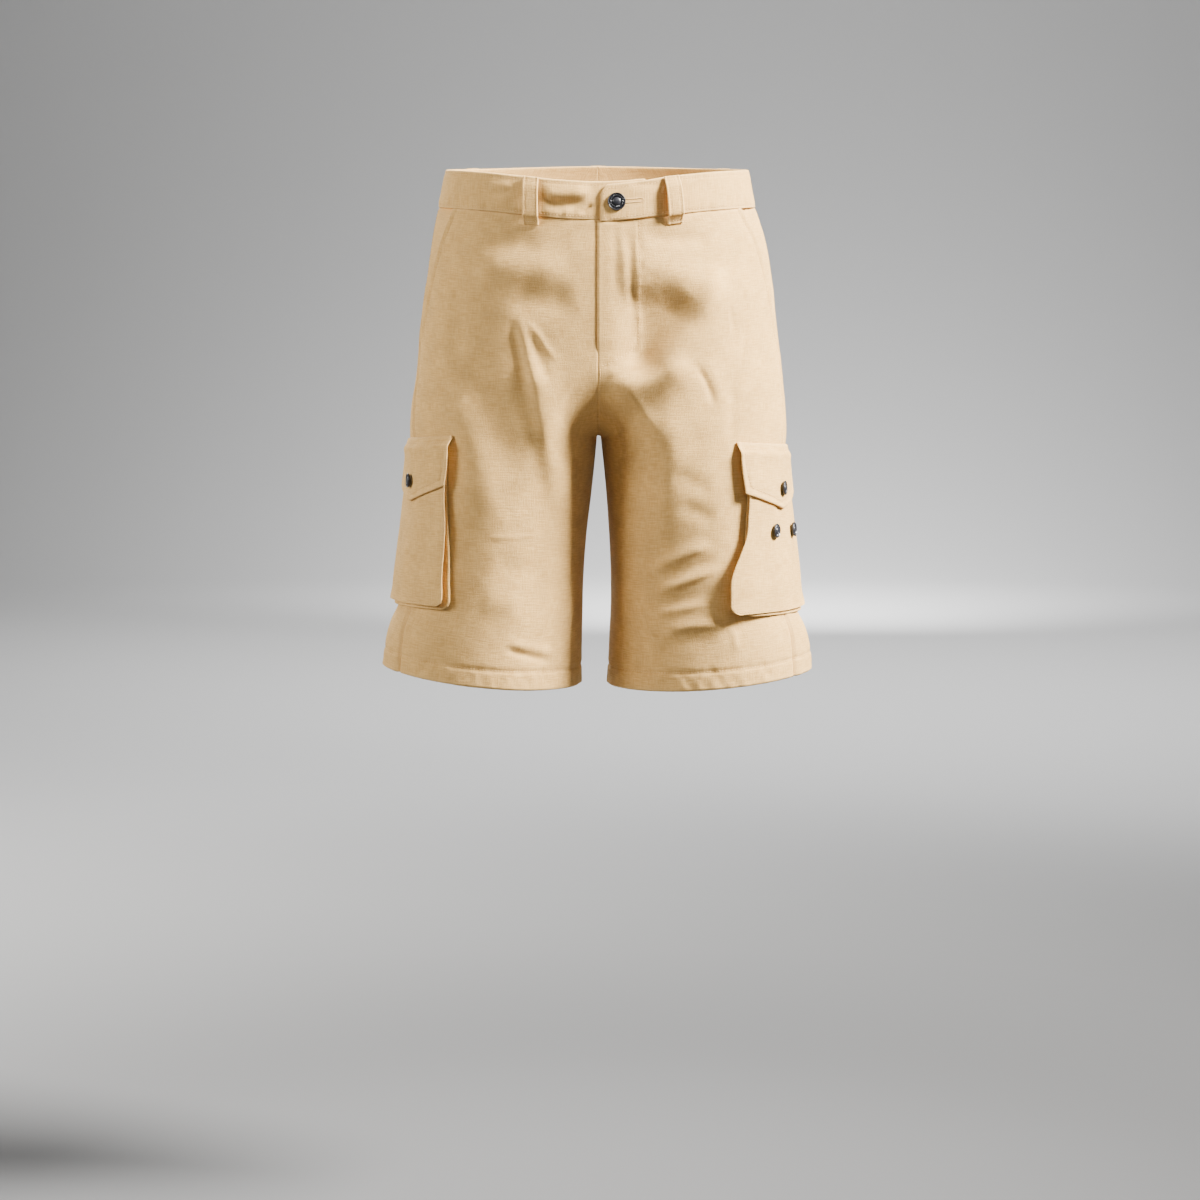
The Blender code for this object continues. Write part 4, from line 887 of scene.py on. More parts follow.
def panel_relief(side, share, drop):
    """Small relief of the sewn body: the side seam and its allowance pressed to the back, and
    the stitched hem, puckered between its stitches and its edge."""
    length = along_row(side, "length", drop)
    behind = (share - along_row(side, "seam", drop)) * length
    allowance = smooth(behind / SEAM_WIDTH) * (1 - smooth((behind - ALLOWANCE) / ALLOWANCE_FADE))
    seam = SEAM_RISE * allowance - SEAM_GROOVE * ridge(behind, SEAM_WIDTH)
    pucker = uneven(behind * 0, drop, *SEAM_SPOTS)
    seam += SEAM_PUCKER * pucker * ridge(behind, SEAM_PUCKER_WIDTH)
    up = HEM_DROP - drop
    stitched = ridge(up - HEM_DEPTH + HEM_LINE, HEM_GROOVE_WIDTH)
    pucker = uneven(share * length + HEM_SLANT * up, up, *HEM_SPOTS)
    small = uneven(share * length + HEM_SMALL_SLANT * up, up, *HEM_SMALL_SPOTS)
    pucker += HEM_SMALL_SHARE * small
    hem = HEM_PUCKER * pucker * ridge(up - HEM_DEPTH * HEM_PUCKER_AT, HEM_PUCKER_WIDTH)
    pressed = BAND_PRESS * (1.0 - smooth((drop - BAND_PRESS_START) / BAND_PRESS_WIDTH))
    return seam - HEM_GROOVE * stitched + hem - pressed


for side, word in SIDES:
    rows = []
    for drop in PANEL_DROPS:
        inner = inner_distances(side, "front_guide", FRONT_CURVE, drop)
        if side == RIGHT and drop < FLY_DROP:
            inner[inner == 0] = -FLY_UNDER * smooth((UNDER_END - drop) / UNDER_FADE)
        guide = end_distance(side, "front_guide", drop)
        edge = along_row(side, "seam", drop) * along_row(side, "length", drop)
        edge -= mouth_distance(drop)
        rows.append(np.concatenate([inner, np.linspace(guide, edge, OUTER_COLUMNS)]))
    distance = np.array(rows)
    drop = np.repeat(PANEL_DROPS[:, None], distance.shape[1], axis=1)
    fly = smooth((FLY_DROP - drop) / FLY_FADE)
    if side == LEFT:
        proud = FLY_PROUD * smooth((FLY_WIDTH - distance) / (FLY_WIDTH - FLY_START)) * fly
        drop[0] += lap_sag(distance[0], LAP_BOTTOM)
        off_line = course_distance(distance, -drop, FLY_COURSE[::3] * (1, -1))[0]
        pucker = uneven(distance, drop, *FLY_SPOTS)
        proud += FLY_PUCKER * pucker * ridge(off_line, FLY_PUCKER_WIDTH)
        proud -= FLY_GROOVE * ridge(off_line, FLY_GROOVE_WIDTH)
    else:
        proud = UNDERLAP_SUNK * smooth(1.0 - distance / SUNK_WIDTH) * fly
    proud = proud + panel_relief(side, distance / along_row(side, "length", drop), drop)
    inset = distance[:, -1:] - distance
    mouth = MOUTH_RIM * ridge(inset - MOUTH_ROLL_AT, MOUTH_ROLL_WIDTH)
    mouth += MOUTH_RIM * (1.0 - smooth(inset / MOUTH_RIM_WIDTH))
    mouth -= MOUTH_GROOVE * ridge(inset - MOUTH_GROOVE_AT, MOUTH_GROOVE_WIDTH)
    proud += mouth * smooth((MOUTH_DROP - drop) / MOUTH_FADE)
    shown = np.where(distance == 0, GAP / 10, distance) * side
    cloth_piece(
        f"front_{word}", lambda lift: from_centre(shown, drop, lift), proud, panel_cloth(drop),
        (-inset - mouth_distance(drop[:, -1:]), -drop), 0.103,
    )

    rows = []
    for drop in PANEL_DROPS:
        length = along_row(side, "length", drop)
        inner = inner_distances(side, "back_guide", BACK_CURVE, drop)
        edge = (1.0 - along_row(side, "seam", drop)) * length - GAP / 2
        outer = np.linspace(end_distance(side, "back_guide", drop), edge, OUTER_COLUMNS)
        rows.append(np.concatenate([inner, outer]))
    distance = np.array(rows)
    drop = np.repeat(PANEL_DROPS[:, None], distance.shape[1], axis=1)
    share = 1.0 - distance / along_row(side, "length", drop)
    seam = -BACK_GROOVE * ridge(distance, BACK_GROOVE_WIDTH)
    seam += BACK_LAP * smooth(1.0 - (distance - BACK_LAP_WIDTH) / BACK_LAP_FADE) * (side == LEFT)
    proud = panel_relief(side, share, drop) + seam * smooth((CROTCH_DROP - drop) / BACK_FADE)
    cloth_piece(
        f"back_{word}", lambda lift: on_skin(side, share, drop, lift), proud, panel_cloth(drop),
        (distance[:, -1:] - distance + BOLT["back"], -drop), 0.144,
    )

# ---------------------------------------------------------------- Hip pocket facings
# A strip of the same canvas behind each slanted pocket mouth, sewn into the side seam and laid
# flat under the front.
FACING_UNDER, FACING_DROP = 0.0220, 0.1560
FACING_SEAM, FACING_FLAT, FACING_SLOPE, FACING_SLOPES = 0.0016, 0.0020, 0.6, (0.004, 0.020)
NARROW_MOUTH = 0.010
FACING_COLUMNS = 30
FACING_GROOVE, FACING_GROOVE_WIDTH = 0.0007, 0.0012
for side, word in SIDES:
    drops = PANEL_DROPS[PANEL_DROPS < FACING_DROP][::2]
    mouth = mouth_distance(drops)
    ahead = np.linspace(mouth + FACING_UNDER, FACING_SEAM, FACING_COLUMNS, axis=1)
    slope = np.clip(mouth[:, None] * FACING_SLOPE, *FACING_SLOPES)
    rise = np.clip(1.0 - (ahead - FACING_FLAT) / slope, 0.0, 1.0)
    lift = -(CLOTH + 3 * GAP) * (1.0 - smooth(rise) * smooth(mouth / NARROW_MOUTH)[:, None])
    lift = lift - FACING_GROOVE * ridge(ahead - FACING_SEAM, FACING_GROOVE_WIDTH)
    drop = np.repeat(drops[:, None], FACING_COLUMNS, axis=1)
    share = by_seam(side, -ahead, drop)
    cloth_piece(
        f"hip_facing_{word}", lambda lift: on_skin(side, share, drop, lift), lift, CLOTH,
        (ahead + BOLT["facing"], -drop), 0.0063,
    )

# ---------------------------------------------------------------- Waistband
# A straight band of folded canvas in two halves. The left half laps over the right one at the
# front, with its upper corner cut off, and closes with a button.
BAND_CLOTH, BAND_PROUD = 0.0022, 0.0011
LAP_EDGE, LAP_PROUD, LAP_END = 0.0030, 0.0023, 0.0640
LAP_CORNER_WIDTH, LAP_CORNER_HEIGHT = 0.0050, 0.0080
UNDERLAP_REACH = 0.0460
BAND_ROWS = 31
BAND_FULL, BAND_PUCKER, BAND_SPOTS = 0.0006, 0.00045, (0.0060, 1.0, 41)
TOP_LINE, TOP_GROOVE, TOP_WIDTH = 0.0032, 0.0004, 0.0012
FOOT_LINE, FOOT_GROOVE, FOOT_WIDTH = 0.0016, 0.0007, 0.0010
BAND_STEP_START, BAND_STEP_LENGTH = -0.0030, 0.0250
LEFT_FREE, RIGHT_FREE = (0.060, 0.02), (0.004, 0.01)
PRESSED_PUFF, INSIDE_PUFF = 0.35, 0.3


def band_puff(rows, distance):
    """The band is fuller between its two rows of stitches, and puckers a little at each."""
    full = BAND_FULL * (1.0 - (2 * rows - 1) ** 4)
    full -= TOP_GROOVE * ridge(rows * BAND_HEIGHT - TOP_LINE, TOP_WIDTH)
    full -= FOOT_GROOVE * ridge((1 - rows) * BAND_HEIGHT - FOOT_LINE, FOOT_WIDTH)
    pucker = uneven(distance, rows * 0, *BAND_SPOTS) * smooth(rows * 3 - 1.6)
    return full + BAND_PUCKER * pucker


for side, word in SIDES:
    length = float(along_row(side, "length", 0.0))
    start = LAP_EDGE if side == LEFT else -UNDERLAP_REACH
    distance = np.linspace(start, length, int((length - start) / STEP))
    rows = np.linspace(0.0, 1.0, BAND_ROWS)[:, None]
    top, bottom = np.full(distance.shape, -BAND_HEIGHT), np.zeros(distance.shape)
    if side == LEFT:
        corner = np.clip(1.0 - (distance - LAP_EDGE) / LAP_CORNER_WIDTH, 0.0, 1.0)
        top = top + lap_sag(distance, LAP_TOP) + LAP_CORNER_HEIGHT * corner
        bottom = bottom + lap_sag(distance, LAP_BOTTOM)
        lapped = 1.0 - smooth((distance - UNDERLAP_REACH) / (LAP_END - UNDERLAP_REACH))
        lift = BAND_PROUD + (LAP_PROUD - BAND_PROUD) * lapped
    else:
        step = smooth((distance - BAND_STEP_START) / BAND_STEP_LENGTH)
        lift = UNDERLAP_SUNK + (BAND_PROUD - UNDERLAP_SUNK) * step
    drop = top * (1 - rows) + bottom * rows
    place = np.repeat(distance[None, :], BAND_ROWS, axis=0)
    free_from, free_over = LEFT_FREE if side == LEFT else RIGHT_FREE
    free = smooth((place - free_from) / free_over)
    puff = band_puff(rows, place) * (free + (1 - free) * PRESSED_PUFF)
    cloth_piece(
        f"waistband_{word}", lambda lift: from_centre(place * side, drop, lift),
        lift + puff, BAND_CLOTH + puff * (1 - INSIDE_PUFF), (BOLT["band"] - drop, place),
        None,
    )

# ---------------------------------------------------------------- Fly
# A strip of the same canvas is the shield behind the fly. The zip's tape, woven of finer and darker
# yarn, is sewn to it and lies under the left front's edge.
# The zip's yarn, its slubs, and the painted shade of the gaps between its yarns.
ZIP_COLOURS = ((0.46, 0.33, 0.16, 1), (0.54, 0.40, 0.21, 1), (0.22, 0.14, 0.06, 1))
ZIP_SLUB = 0.15
ZIP_TAPE = make_canvas("zip_tape", ZIP_COLOURS, ZIP_SLUB)
ZIP_CLOTH = 0.0010
SHIELD_LIFT = -CLOTH - ZIP_CLOTH - 2 * GAP
STRIP_COLUMNS = ("name", "near", "far", "first", "last", "lift", "thick", "finish", "size")
STRIPS = (
    ("fly_shield", -0.010, 0.042, 0.001, FLY_DROP, SHIELD_LIFT, CLOTH, CANVAS, (0.052, 0.139)),
    ("fly_zip", 0.008, 0.034, 0.003, 0.128, -CLOTH - GAP, ZIP_CLOTH, ZIP_TAPE, (0.026, 0.125)),
)
STRIP_ACROSS, STRIP_ROWS = 20, 50
for row in STRIPS:
    strip = dict(zip(STRIP_COLUMNS, row))
    across = np.linspace(strip["near"], strip["far"], STRIP_ACROSS)[None, :]
    drop = np.linspace(strip["first"], strip["last"], STRIP_ROWS)[:, None]
    across, drop = np.broadcast_arrays(across, drop)
    cloth = cloth_piece(
        strip["name"], lambda lift: from_centre(across, drop, lift), strip["lift"],
        strip["thick"], (across + BOLT["fly"], -drop), None,
        strip["finish"],
    )

# ---------------------------------------------------------------- Belt loops
# Five strips of canvas, folded and stitched along both edges. Each is tacked down above and below
# the waistband, and stands off it between.
LOOP_WIDTH, LOOP_CLOTH, LOOP_LENGTH = 0.0140, 0.0016, 0.0600
LOOP_ROWS, LOOP_ACROSS = 56, 29
LOOP_COLUMNS = ("name", "back", "distance", "lean", "stand")
LOOPS = (
    ("loop_front_right", False, -0.0655, 0.0000, 0.0036),
    ("loop_front_left", False, 0.0720, 0.0040, 0.0068),
    ("loop_side_right", True, -0.1350, 0.0000, 0.0050),
    ("loop_side_left", True, 0.1350, 0.0000, 0.0050),
    ("loop_back", True, 0.0000, 0.0000, 0.0068),
)
LOOP_COURSE_COLUMNS = ("drop", "share")
LOOP_COURSE = (
    (-0.0365, 0.00),
    (-0.0335, 0.02),
    (-0.0312, 0.48),
    (-0.0265, 0.84),
    (-0.0130, 1.00),
    (0.0000, 0.92),
    (0.0040, 0.62),
    (0.0064, 0.05),
    (0.0095, 0.00),
)
LOOP_TOP, LOOP_FOOT = LOOP_COURSE[0][0], LOOP_COURSE[-1][0]
LOOP_FOLD, LOOP_GROOVE, LOOP_LINE, LOOP_LINE_WIDTH = 0.00035, 0.00030, 0.0048, 0.0008
BAND_END, OVER_BAND = 0.0020, BAND_PROUD + 0.0005


def curve_through(places, values, count):
    """A soft curve through a few values: straight between them, then evened out."""
    at = np.linspace(places[0], places[-1], count)
    value = np.interp(at, places, values)
    spread = np.hanning(max(count // 9, 3) * 2 + 1)
    padded = np.concatenate([
        np.full(len(spread) // 2, value[0]), value, np.full(len(spread) // 2, value[-1])
    ])
    return at, np.convolve(padded, spread / spread.sum(), mode="valid")


def loop_distance(loop, drop, across):
    """Distance from the centre line of a place across a belt loop, which may lean."""
    return loop["distance"] + loop["lean"] * (drop - LOOP_TOP) / (LOOP_FOOT - LOOP_TOP) + across


loops = [dict(zip(LOOP_COLUMNS, row)) for row in LOOPS]
for loop in loops:
    course = dict(zip(LOOP_COURSE_COLUMNS, np.transpose(LOOP_COURSE)))
    drop, share = curve_through(course["drop"], course["share"], LOOP_ROWS)
    across = np.linspace(-LOOP_WIDTH / 2, LOOP_WIDTH / 2, LOOP_ACROSS)
    drop, share, across = np.broadcast_arrays(drop[:, None], share[:, None], across[None, :])
    rest = np.where(drop < BAND_END, OVER_BAND, 0.0) + GAP
    thick = LOOP_CLOTH + LOOP_FOLD * (np.abs(across) / (LOOP_WIDTH / 2)) ** 6
    thick = thick - LOOP_GROOVE * ridge(np.abs(across) - LOOP_LINE, LOOP_LINE_WIDTH)
    under = rest + (loop["stand"] - GAP) * share
    distance = loop_distance(loop, drop, across)
    cloth_piece(
        loop["name"], lambda lift: from_centre(distance, drop, lift, loop["back"]),
        under + thick, thick, (distance + BOLT["loop"], -drop),
        None,
    )

# ---------------------------------------------------------------- Cargo pockets
# On each outer leg a bellows pocket of canvas: a front, a folded strip round three sides, and a
# pointed flap sewn on above its mouth.
POCKET_COLUMNS = ("side", "flap_drop", "length", "front", "front_inset", "shift", "tilt")
POCKETS = (
    (LEFT, 0.2340, 0.1610, 0.0510, -0.0160, -0.0050, 0.0800),
    (RIGHT, 0.2285, 0.1640, 0.0555, 0.0050, 0.0000, 0.0900),
)
POCKET_REAR, POCKET_MOUTH, POCKET_CORNER = 0.0600, 0.0130, 0.0090
POCKET_STAND_TOP, POCKET_STAND_BOTTOM = 0.0018, 0.0036
POCKET_STAND_EDGE, EDGE_TOP_SHARE = 0.0066, 0.4
REAR_INSET, BASE_INSET = 0.0050, 0.0030
INSET_START, INSET_SPREAD = 0.4800, 0.3400
GUSSET_CLOTH, GUSSET_SEAM = 0.0010, 0.0013
EDGE_ROWS, CORNER_ROWS, BASE_COLUMNS, POCKET_ACROSS = 70, 9, 46, 58
BELLOWS_STEPS = 25
# The bellows rises at its sewn line, folds down into the pocket and up to the front's edge.
BELLOWS_COLUMNS = ("share", "to_edge", "inwards", "height")
BELLOWS = (
    (0.00, 0.00, 0.0000, 0.00),
    (0.14, 0.00, -0.0006, 0.42),
    (0.26, 0.03, 0.0008, 0.66),
    (0.38, 0.12, 0.0026, 0.46),
    (0.56, 0.42, 0.0050, 0.12),
    (0.76, 0.80, 0.0052, 0.42),
    (1.00, 1.00, 0.0018, 1.00),
)
DENTS, SMALL_DENTS, DEEPEST_DENT, DENT_EDGE = 0.0007, 0.0003, -0.0003, 0.0080
DENT_SPOTS, DENT_SEED = (0.030, 0.046), 51
SMALL_DENT_SPOTS, SMALL_DENT_SLANT = (0.012, 0.020, 53), 0.4
POCKET_RIM, POCKET_RIM_WIDTH = 0.0006, 0.0045
POCKET_DITCH, POCKET_DITCH_AT, POCKET_DITCH_WIDTH = 0.0005, 0.0022, 0.0012
FLAP_CLOTH, FLAP_CLEAR, FLAP_RISE = 0.0018, 0.0006, 1.25
FLAP_HALF, FLAP_TAPER, FLAP_SIDE, FLAP_POINT = 0.0645, 0.0080, 0.0465, 0.0602
FLAP_ACROSS, FLAP_ROWS = 66, 34
FLAP_RIM, FLAP_RIM_WIDTH = 0.0007, 0.0045
FLAP_TOP_LINE, FLAP_EDGE_LINE, FLAP_LINE_WIDTH = 0.0050, 0.0055, 0.0012
FLAP_TOP_GROOVE, FLAP_EDGE_GROOVE = 0.0006, 0.0004
FLAP_WAVES, FLAP_PUCKER_AT, FLAP_PUCKER_WIDTH = 0.0005, 0.0060, 0.0100
FLAP_SPOTS, PUCKER_SPOTS, LONG_SPOTS = (0.02, 0.05, 61), (0.0055, 0.03, 62), (0.0080, 0.09, 63)


def on_pocket(pocket, behind, down, lift):
    """Points over a cargo pocket, a distance behind its centre line and down from its flap seam."""
    behind, down, lift = np.broadcast_arrays(behind, down, lift)
    side = pocket["side"]
    drop = pocket["flap_drop"] + down + pocket["tilt"] * behind
    return on_skin(side, by_seam(side, behind + pocket["shift"], drop), drop, lift)


def pocket_stand(pocket, behind, down):
    """How far the inside of a cargo pocket's front stands off the leg."""
    low = np.clip(down / pocket["length"], 0.0, 1.0)
    centre = POCKET_STAND_TOP + (POCKET_STAND_BOTTOM - POCKET_STAND_TOP) * low
    lower = EDGE_TOP_SHARE + (1 - EDGE_TOP_SHARE) * low
    return centre + POCKET_STAND_EDGE * (behind / POCKET_REAR) ** 2 * lower


def pocket_outline(pocket, share):
    """Down the front edge of a pocket, round its lower corners and up its rear edge, drawn in
    from the sewn line by a share of the insets, which begin half-way down."""
    bottom = pocket["length"] - BASE_INSET * share
    angles = np.radians(np.linspace(0, 90, CORNER_ROWS + 1))
    down = np.concatenate([
        np.linspace(POCKET_MOUTH, bottom - POCKET_CORNER, EDGE_ROWS),
        bottom - POCKET_CORNER * (1 - np.sin(angles[1:])),
    ])
    low = smooth((down / pocket["length"] - INSET_START) / INSET_SPREAD) * share
    rounding = np.concatenate([np.zeros(EDGE_ROWS - 1), POCKET_CORNER * (1 - np.cos(angles))])
    front = -pocket["front"] + pocket["front_inset"] * low + rounding
    rear = POCKET_REAR - REAR_INSET * low - rounding
    base = np.linspace(front[-1], rear[-1], BASE_COLUMNS + 2)[1:-1]
    across = np.concatenate([front, base, rear[::-1]])
    along = np.concatenate([down, np.full(BASE_COLUMNS, bottom), down[::-1]])
    return np.stack([across, along], axis=1)


def flap_stand(pocket, behind, down):
    """How far the inside of a flap stands off the leg: sewn down above, over the pocket below."""
    over = pocket_stand(pocket, behind, np.maximum(down, POCKET_MOUTH)) + CLOTH + FLAP_CLEAR
    return GAP + (over - GAP) * smooth(down / POCKET_MOUTH * FLAP_RISE)


def beside(course):
    """The direction to the inner side of a course round a pocket, at each of its points."""
    along = unit(np.gradient(course, axis=0))
    return np.stack([along[:, 1], -along[:, 0]], axis=1)


pockets = [dict(zip(POCKET_COLUMNS, row)) for row in POCKETS]
for pocket, (side, word) in zip(pockets, SIDES):
    sewn, edge = pocket_outline(pocket, 0.0), pocket_outline(pocket, 1.0)
    turned = beside(sewn)
    under = pocket_stand(pocket, edge[:, 0], edge[:, 1]) - 2 * GAP
    bellows = dict(zip(BELLOWS_COLUMNS, np.transpose(BELLOWS)))
    courses = (
        curve_through(bellows["share"], bellows[what], BELLOWS_STEPS)[1]
        for what in ("to_edge", "inwards", "height")
    )
    outer = np.array([
        on_pocket(
            pocket, *(sewn + (edge - sewn) * to_edge + turned * inwards).T,
            GUSSET_SEAM + (under - GUSSET_SEAM) * height,
        )
        for to_edge, inwards, height in zip(*courses)
    ])
    out = unit(np.cross(np.gradient(outer, axis=0), np.gradient(outer, axis=1))) * side
    run = np.broadcast_to(run_along(outer[0]), outer.shape[:2])
    rise = np.linalg.norm(np.diff(outer, axis=0), axis=2)
    rise = np.concatenate([np.zeros((1, outer.shape[1])), np.cumsum(rise, axis=0)])
    cloth_piece(
        f"cargo_gusset_{word}", lambda lift: outer - out * lift, 0.0, GUSSET_CLOTH,
        (rise + BOLT["bellows"], run), 0,
    )

    rows = EDGE_ROWS + CORNER_ROWS
    front, rear = edge[:rows], edge[:-rows - 1:-1]
    behind = np.linspace(front[:, 0], rear[:, 0], POCKET_ACROSS, axis=1)
    down = np.repeat(front[:, 1:], POCKET_ACROSS, axis=1)
    stand = pocket_stand(pocket, behind, down)
    dents = DENTS * uneven(behind, down, *DENT_SPOTS, DENT_SEED + side)
    slanted = behind + SMALL_DENT_SLANT * down
    dents += SMALL_DENTS * uneven(slanted, down, *SMALL_DENT_SPOTS)
    from_edge = np.minimum(behind - behind[:, :1], behind[:, -1:] - behind)
    relief = np.maximum(dents, DEEPEST_DENT) * smooth(from_edge / DENT_EDGE)
    relief += POCKET_RIM * (1.0 - smooth(from_edge / POCKET_RIM_WIDTH))
    relief -= POCKET_DITCH * ridge(from_edge - POCKET_DITCH_AT, POCKET_DITCH_WIDTH)
    thick = CLOTH + relief
    cloth_piece(
        f"cargo_pocket_{word}", lambda lift: on_pocket(pocket, behind, down, lift),
        stand + thick, thick, (behind + BOLT["pocket"], -down),
        0,
    )

    across = np.linspace(-1.0, 1.0, FLAP_ACROSS)[None, :]
    bottom = FLAP_SIDE + (FLAP_POINT - FLAP_SIDE) * (1 - np.abs(across))
    rows = np.linspace(0.0, 1.0, FLAP_ROWS)[:, None]
    down = bottom * rows
    behind = across * (FLAP_HALF - FLAP_TAPER * rows)
    stand = flap_stand(pocket, behind, down)
    from_edge = np.minimum((1 - np.abs(across)) * FLAP_HALF, bottom - down)
    relief = FLAP_RIM * (1 - smooth(from_edge / FLAP_RIM_WIDTH))
    relief -= FLAP_TOP_GROOVE * ridge(down - FLAP_TOP_LINE, FLAP_LINE_WIDTH)
    relief -= FLAP_EDGE_GROOVE * ridge(from_edge - FLAP_EDGE_LINE, FLAP_LINE_WIDTH)
    puckered = ridge(down - FLAP_PUCKER_AT, FLAP_PUCKER_WIDTH)
    waves = uneven(behind, down, *FLAP_SPOTS) + uneven(behind, down, *PUCKER_SPOTS) * puckered
    waves += uneven(behind, down, *LONG_SPOTS) * smooth(down / FLAP_PUCKER_AT)
    thick = FLAP_CLOTH + relief + FLAP_WAVES * waves
    cloth_piece(
        f"cargo_flap_{word}", lambda lift: on_pocket(pocket, behind, down, lift),
        stand + thick, thick, (behind + BOLT["flap"], -down),
        0,
    )

# ---------------------------------------------------------------- Buttons
# Black moulded shank buttons: a rolled rim, a ring in relief like twisted rope, and a domed centre
# with a worn top.
BUTTON_COLUMNS = ("name", "turn")
BUTTONS = (
    ("waist_button", 0.0),
    ("flap_button_left", 10.0),
    ("flap_button_right", -10.0),
    ("pocket_button_front", 10.0),
    ("pocket_button_rear", -6.0),
)
BUTTON_PROFILE_COLUMNS = ("radius", "height", "rope", "worn")
BUTTON_PROFILE = (
    (0.00, 0.00, 0.0, 0.0),
    (0.55, 0.00, 0.0, 0.0),
    (0.84, 0.10, 0.0, 0.0),
    (0.97, 0.32, 0.0, 0.1),
    (1.00, 0.52, 0.0, 0.3),
    (0.98, 0.76, 0.0, 0.7),
    (0.93, 0.88, 0.0, 1.0),
    (0.88, 0.84, 0.0, 0.6),
    (0.84, 0.66, 0.0, 0.0),
    (0.80, 0.62, 0.3, 0.0),
    (0.74, 0.74, 1.0, 0.5),
    (0.67, 0.80, 1.0, 0.9),
    (0.60, 0.74, 1.0, 0.5),
    (0.54, 0.60, 0.3, 0.0),
    (0.50, 0.60, 0.0, 0.0),
    (0.46, 0.78, 0.0, 0.5),
    (0.38, 0.90, 0.0, 0.9),
    (0.20, 0.98, 0.0, 0.5),
    (0.00, 1.00, 0.0, 0.4),
)
BUTTON_STEPS, ROPE_TURNS, ROPE_TWIST, ROPE_HEIGHT, ROPE_MIDDLE = 84, 14, 9.0, 0.16, 0.2
BUTTON_FOOT, BUTTON_TOP = 0.15, 1.04
BUTTON_BLACK, BUTTON_RUBBED = (0.008, 0.008, 0.011, 1), (0.032, 0.031, 0.036, 1)
BUTTON_GLOSS = {"To Min": 0.24, "To Max": 0.52}

button_plastic, tree, shader = new_finish("black_button_plastic")
speck = noise(tree, Scale=900.0, Detail=2.0).outputs["Fac"]
rubbed = node(tree, "Attribute", attribute_name="worn").outputs["Fac"]
share = sum_of(tree, "MULTIPLY", rubbed, speck)
give(tree, shader, {
    "Base Color": between_colours(tree, share, BUTTON_BLACK, BUTTON_RUBBED),
    "Roughness": node(tree, "MapRange", {"Value": share, **BUTTON_GLOSS}).outputs[0],
})

for row in BUTTONS:
    button = dict(zip(BUTTON_COLUMNS, row))
    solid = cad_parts[button["name"]]
    corners = np.array([tuple(solid.matrix_world @ v.co) for v in solid.data.vertices])
    centre = (corners.min(axis=0) + corners.max(axis=0)) / 2
    axis = np.linalg.eigh(np.cov((corners - centre).T))[1][:, 0]
    axis *= np.sign(axis[:2] @ centre[:2])
    heights = (corners - centre) @ axis
    flat = corners - centre - heights[:, None] * axis
    radius, low, high = np.linalg.norm(flat, axis=1).max(), heights.min(), heights.max()
    turn = math.radians(button["turn"])
    facing = np.array([
        axis[0] * math.cos(turn) - axis[1] * math.sin(turn),
        axis[0] * math.sin(turn) + axis[1] * math.cos(turn), axis[2],
    ])
    right = unit(np.cross((0.0, 0.0, 1.0), facing))
    up = np.cross(facing, right)
    profile = dict(zip(BUTTON_PROFILE_COLUMNS, np.transpose(BUTTON_PROFILE)))
    angles = np.linspace(0.0, math.tau, BUTTON_STEPS, endpoint=False)[:, None]
    rope = np.cos(ROPE_TURNS * angles + ROPE_TWIST * profile["radius"] * math.pi)
    out = radius * profile["radius"] * np.ones((BUTTON_STEPS, 1))
    rise = profile["height"] + ROPE_HEIGHT * profile["rope"] * (rope - ROPE_MIDDLE)
    base = low + (high - low) * BUTTON_FOOT
    lift = base + (high - base) * np.clip(rise, 0.0, BUTTON_TOP)
    points = centre + (out * np.cos(angles))[..., None] * right
    points += (out * np.sin(angles))[..., None] * up + lift[..., None] * facing
    columns = len(BUTTON_PROFILE)
    index = np.arange(BUTTON_STEPS * columns).reshape(BUTTON_STEPS, columns)
    after = np.roll(index, -1, axis=0)
    faces = np.stack([index[:, :-1], after[:, :-1], after[:, 1:], index[:, 1:]], axis=-1)
    name = f"{button['name']}_moulded"
    mesh = mesh_of(name, points, faces, np.tile(profile["worn"], BUTTON_STEPS))
    join_up(mesh)
    moulded = finished(name, mesh, button_plastic)
    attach(moulded, "root")
    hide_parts(button["name"])

# ---------------------------------------------------------------- Stitching
# Rows of lockstitch in cotton thread of the cloth's colour. Each stitch is a short length of
# thread bowed over the cloth and pulled into it at both ends.
STITCH, PITCH, TACK_PITCH, THREAD, THREAD_SIDES = 0.0024, 0.0032, 0.0026, 0.00027, 6
STITCH_STATIONS = (0.00, 0.25, 0.50, 0.75, 1.00)
STITCH_LIFTS = np.array([-0.00024, 0.00010, 0.00018, 0.00010, -0.00024])[:, None]
THREAD_END = 0.6
GUIDE_NEAR, GUIDE_FAR, GUIDE_BACK = 0.004, 0.014, 0.012
THREAD_DARK, THREAD_PALE = (0.50, 0.285, 0.080, 1), (0.76, 0.48, 0.170, 1)
THREAD_ROUGHNESS, THREAD_NAP = 0.62, 0.15

sand_thread, tree, shader = new_finish("sand_thread")
place = node(tree, "TexCoord").outputs["Object"]
fibre = noise(tree, Vector=place, Scale=2400.0, Detail=2.0).outputs["Fac"]
ply = node(tree, "Bump", {"Height": fibre, "Distance": 0.0001})
give(tree, shader, {
    "Base Color": between_colours(tree, fibre, THREAD_DARK, THREAD_PALE),
    "Normal": ply.outputs[0], "Roughness": THREAD_ROUGHNESS, "Sheen Weight": THREAD_NAP,
})


def surface_of(*names):
    """The joined surface of some pieces, to find where stitches lie on it."""
    corners, faces = [], []
    for name in names:
        mesh = bpy.data.objects[name].data
        start = len(corners)
        corners += [v.co.copy() for v in mesh.vertices]
        faces += [[start + i for i in face.vertices] for face in mesh.polygons]
    return BVHTree.FromPolygons(corners, faces)


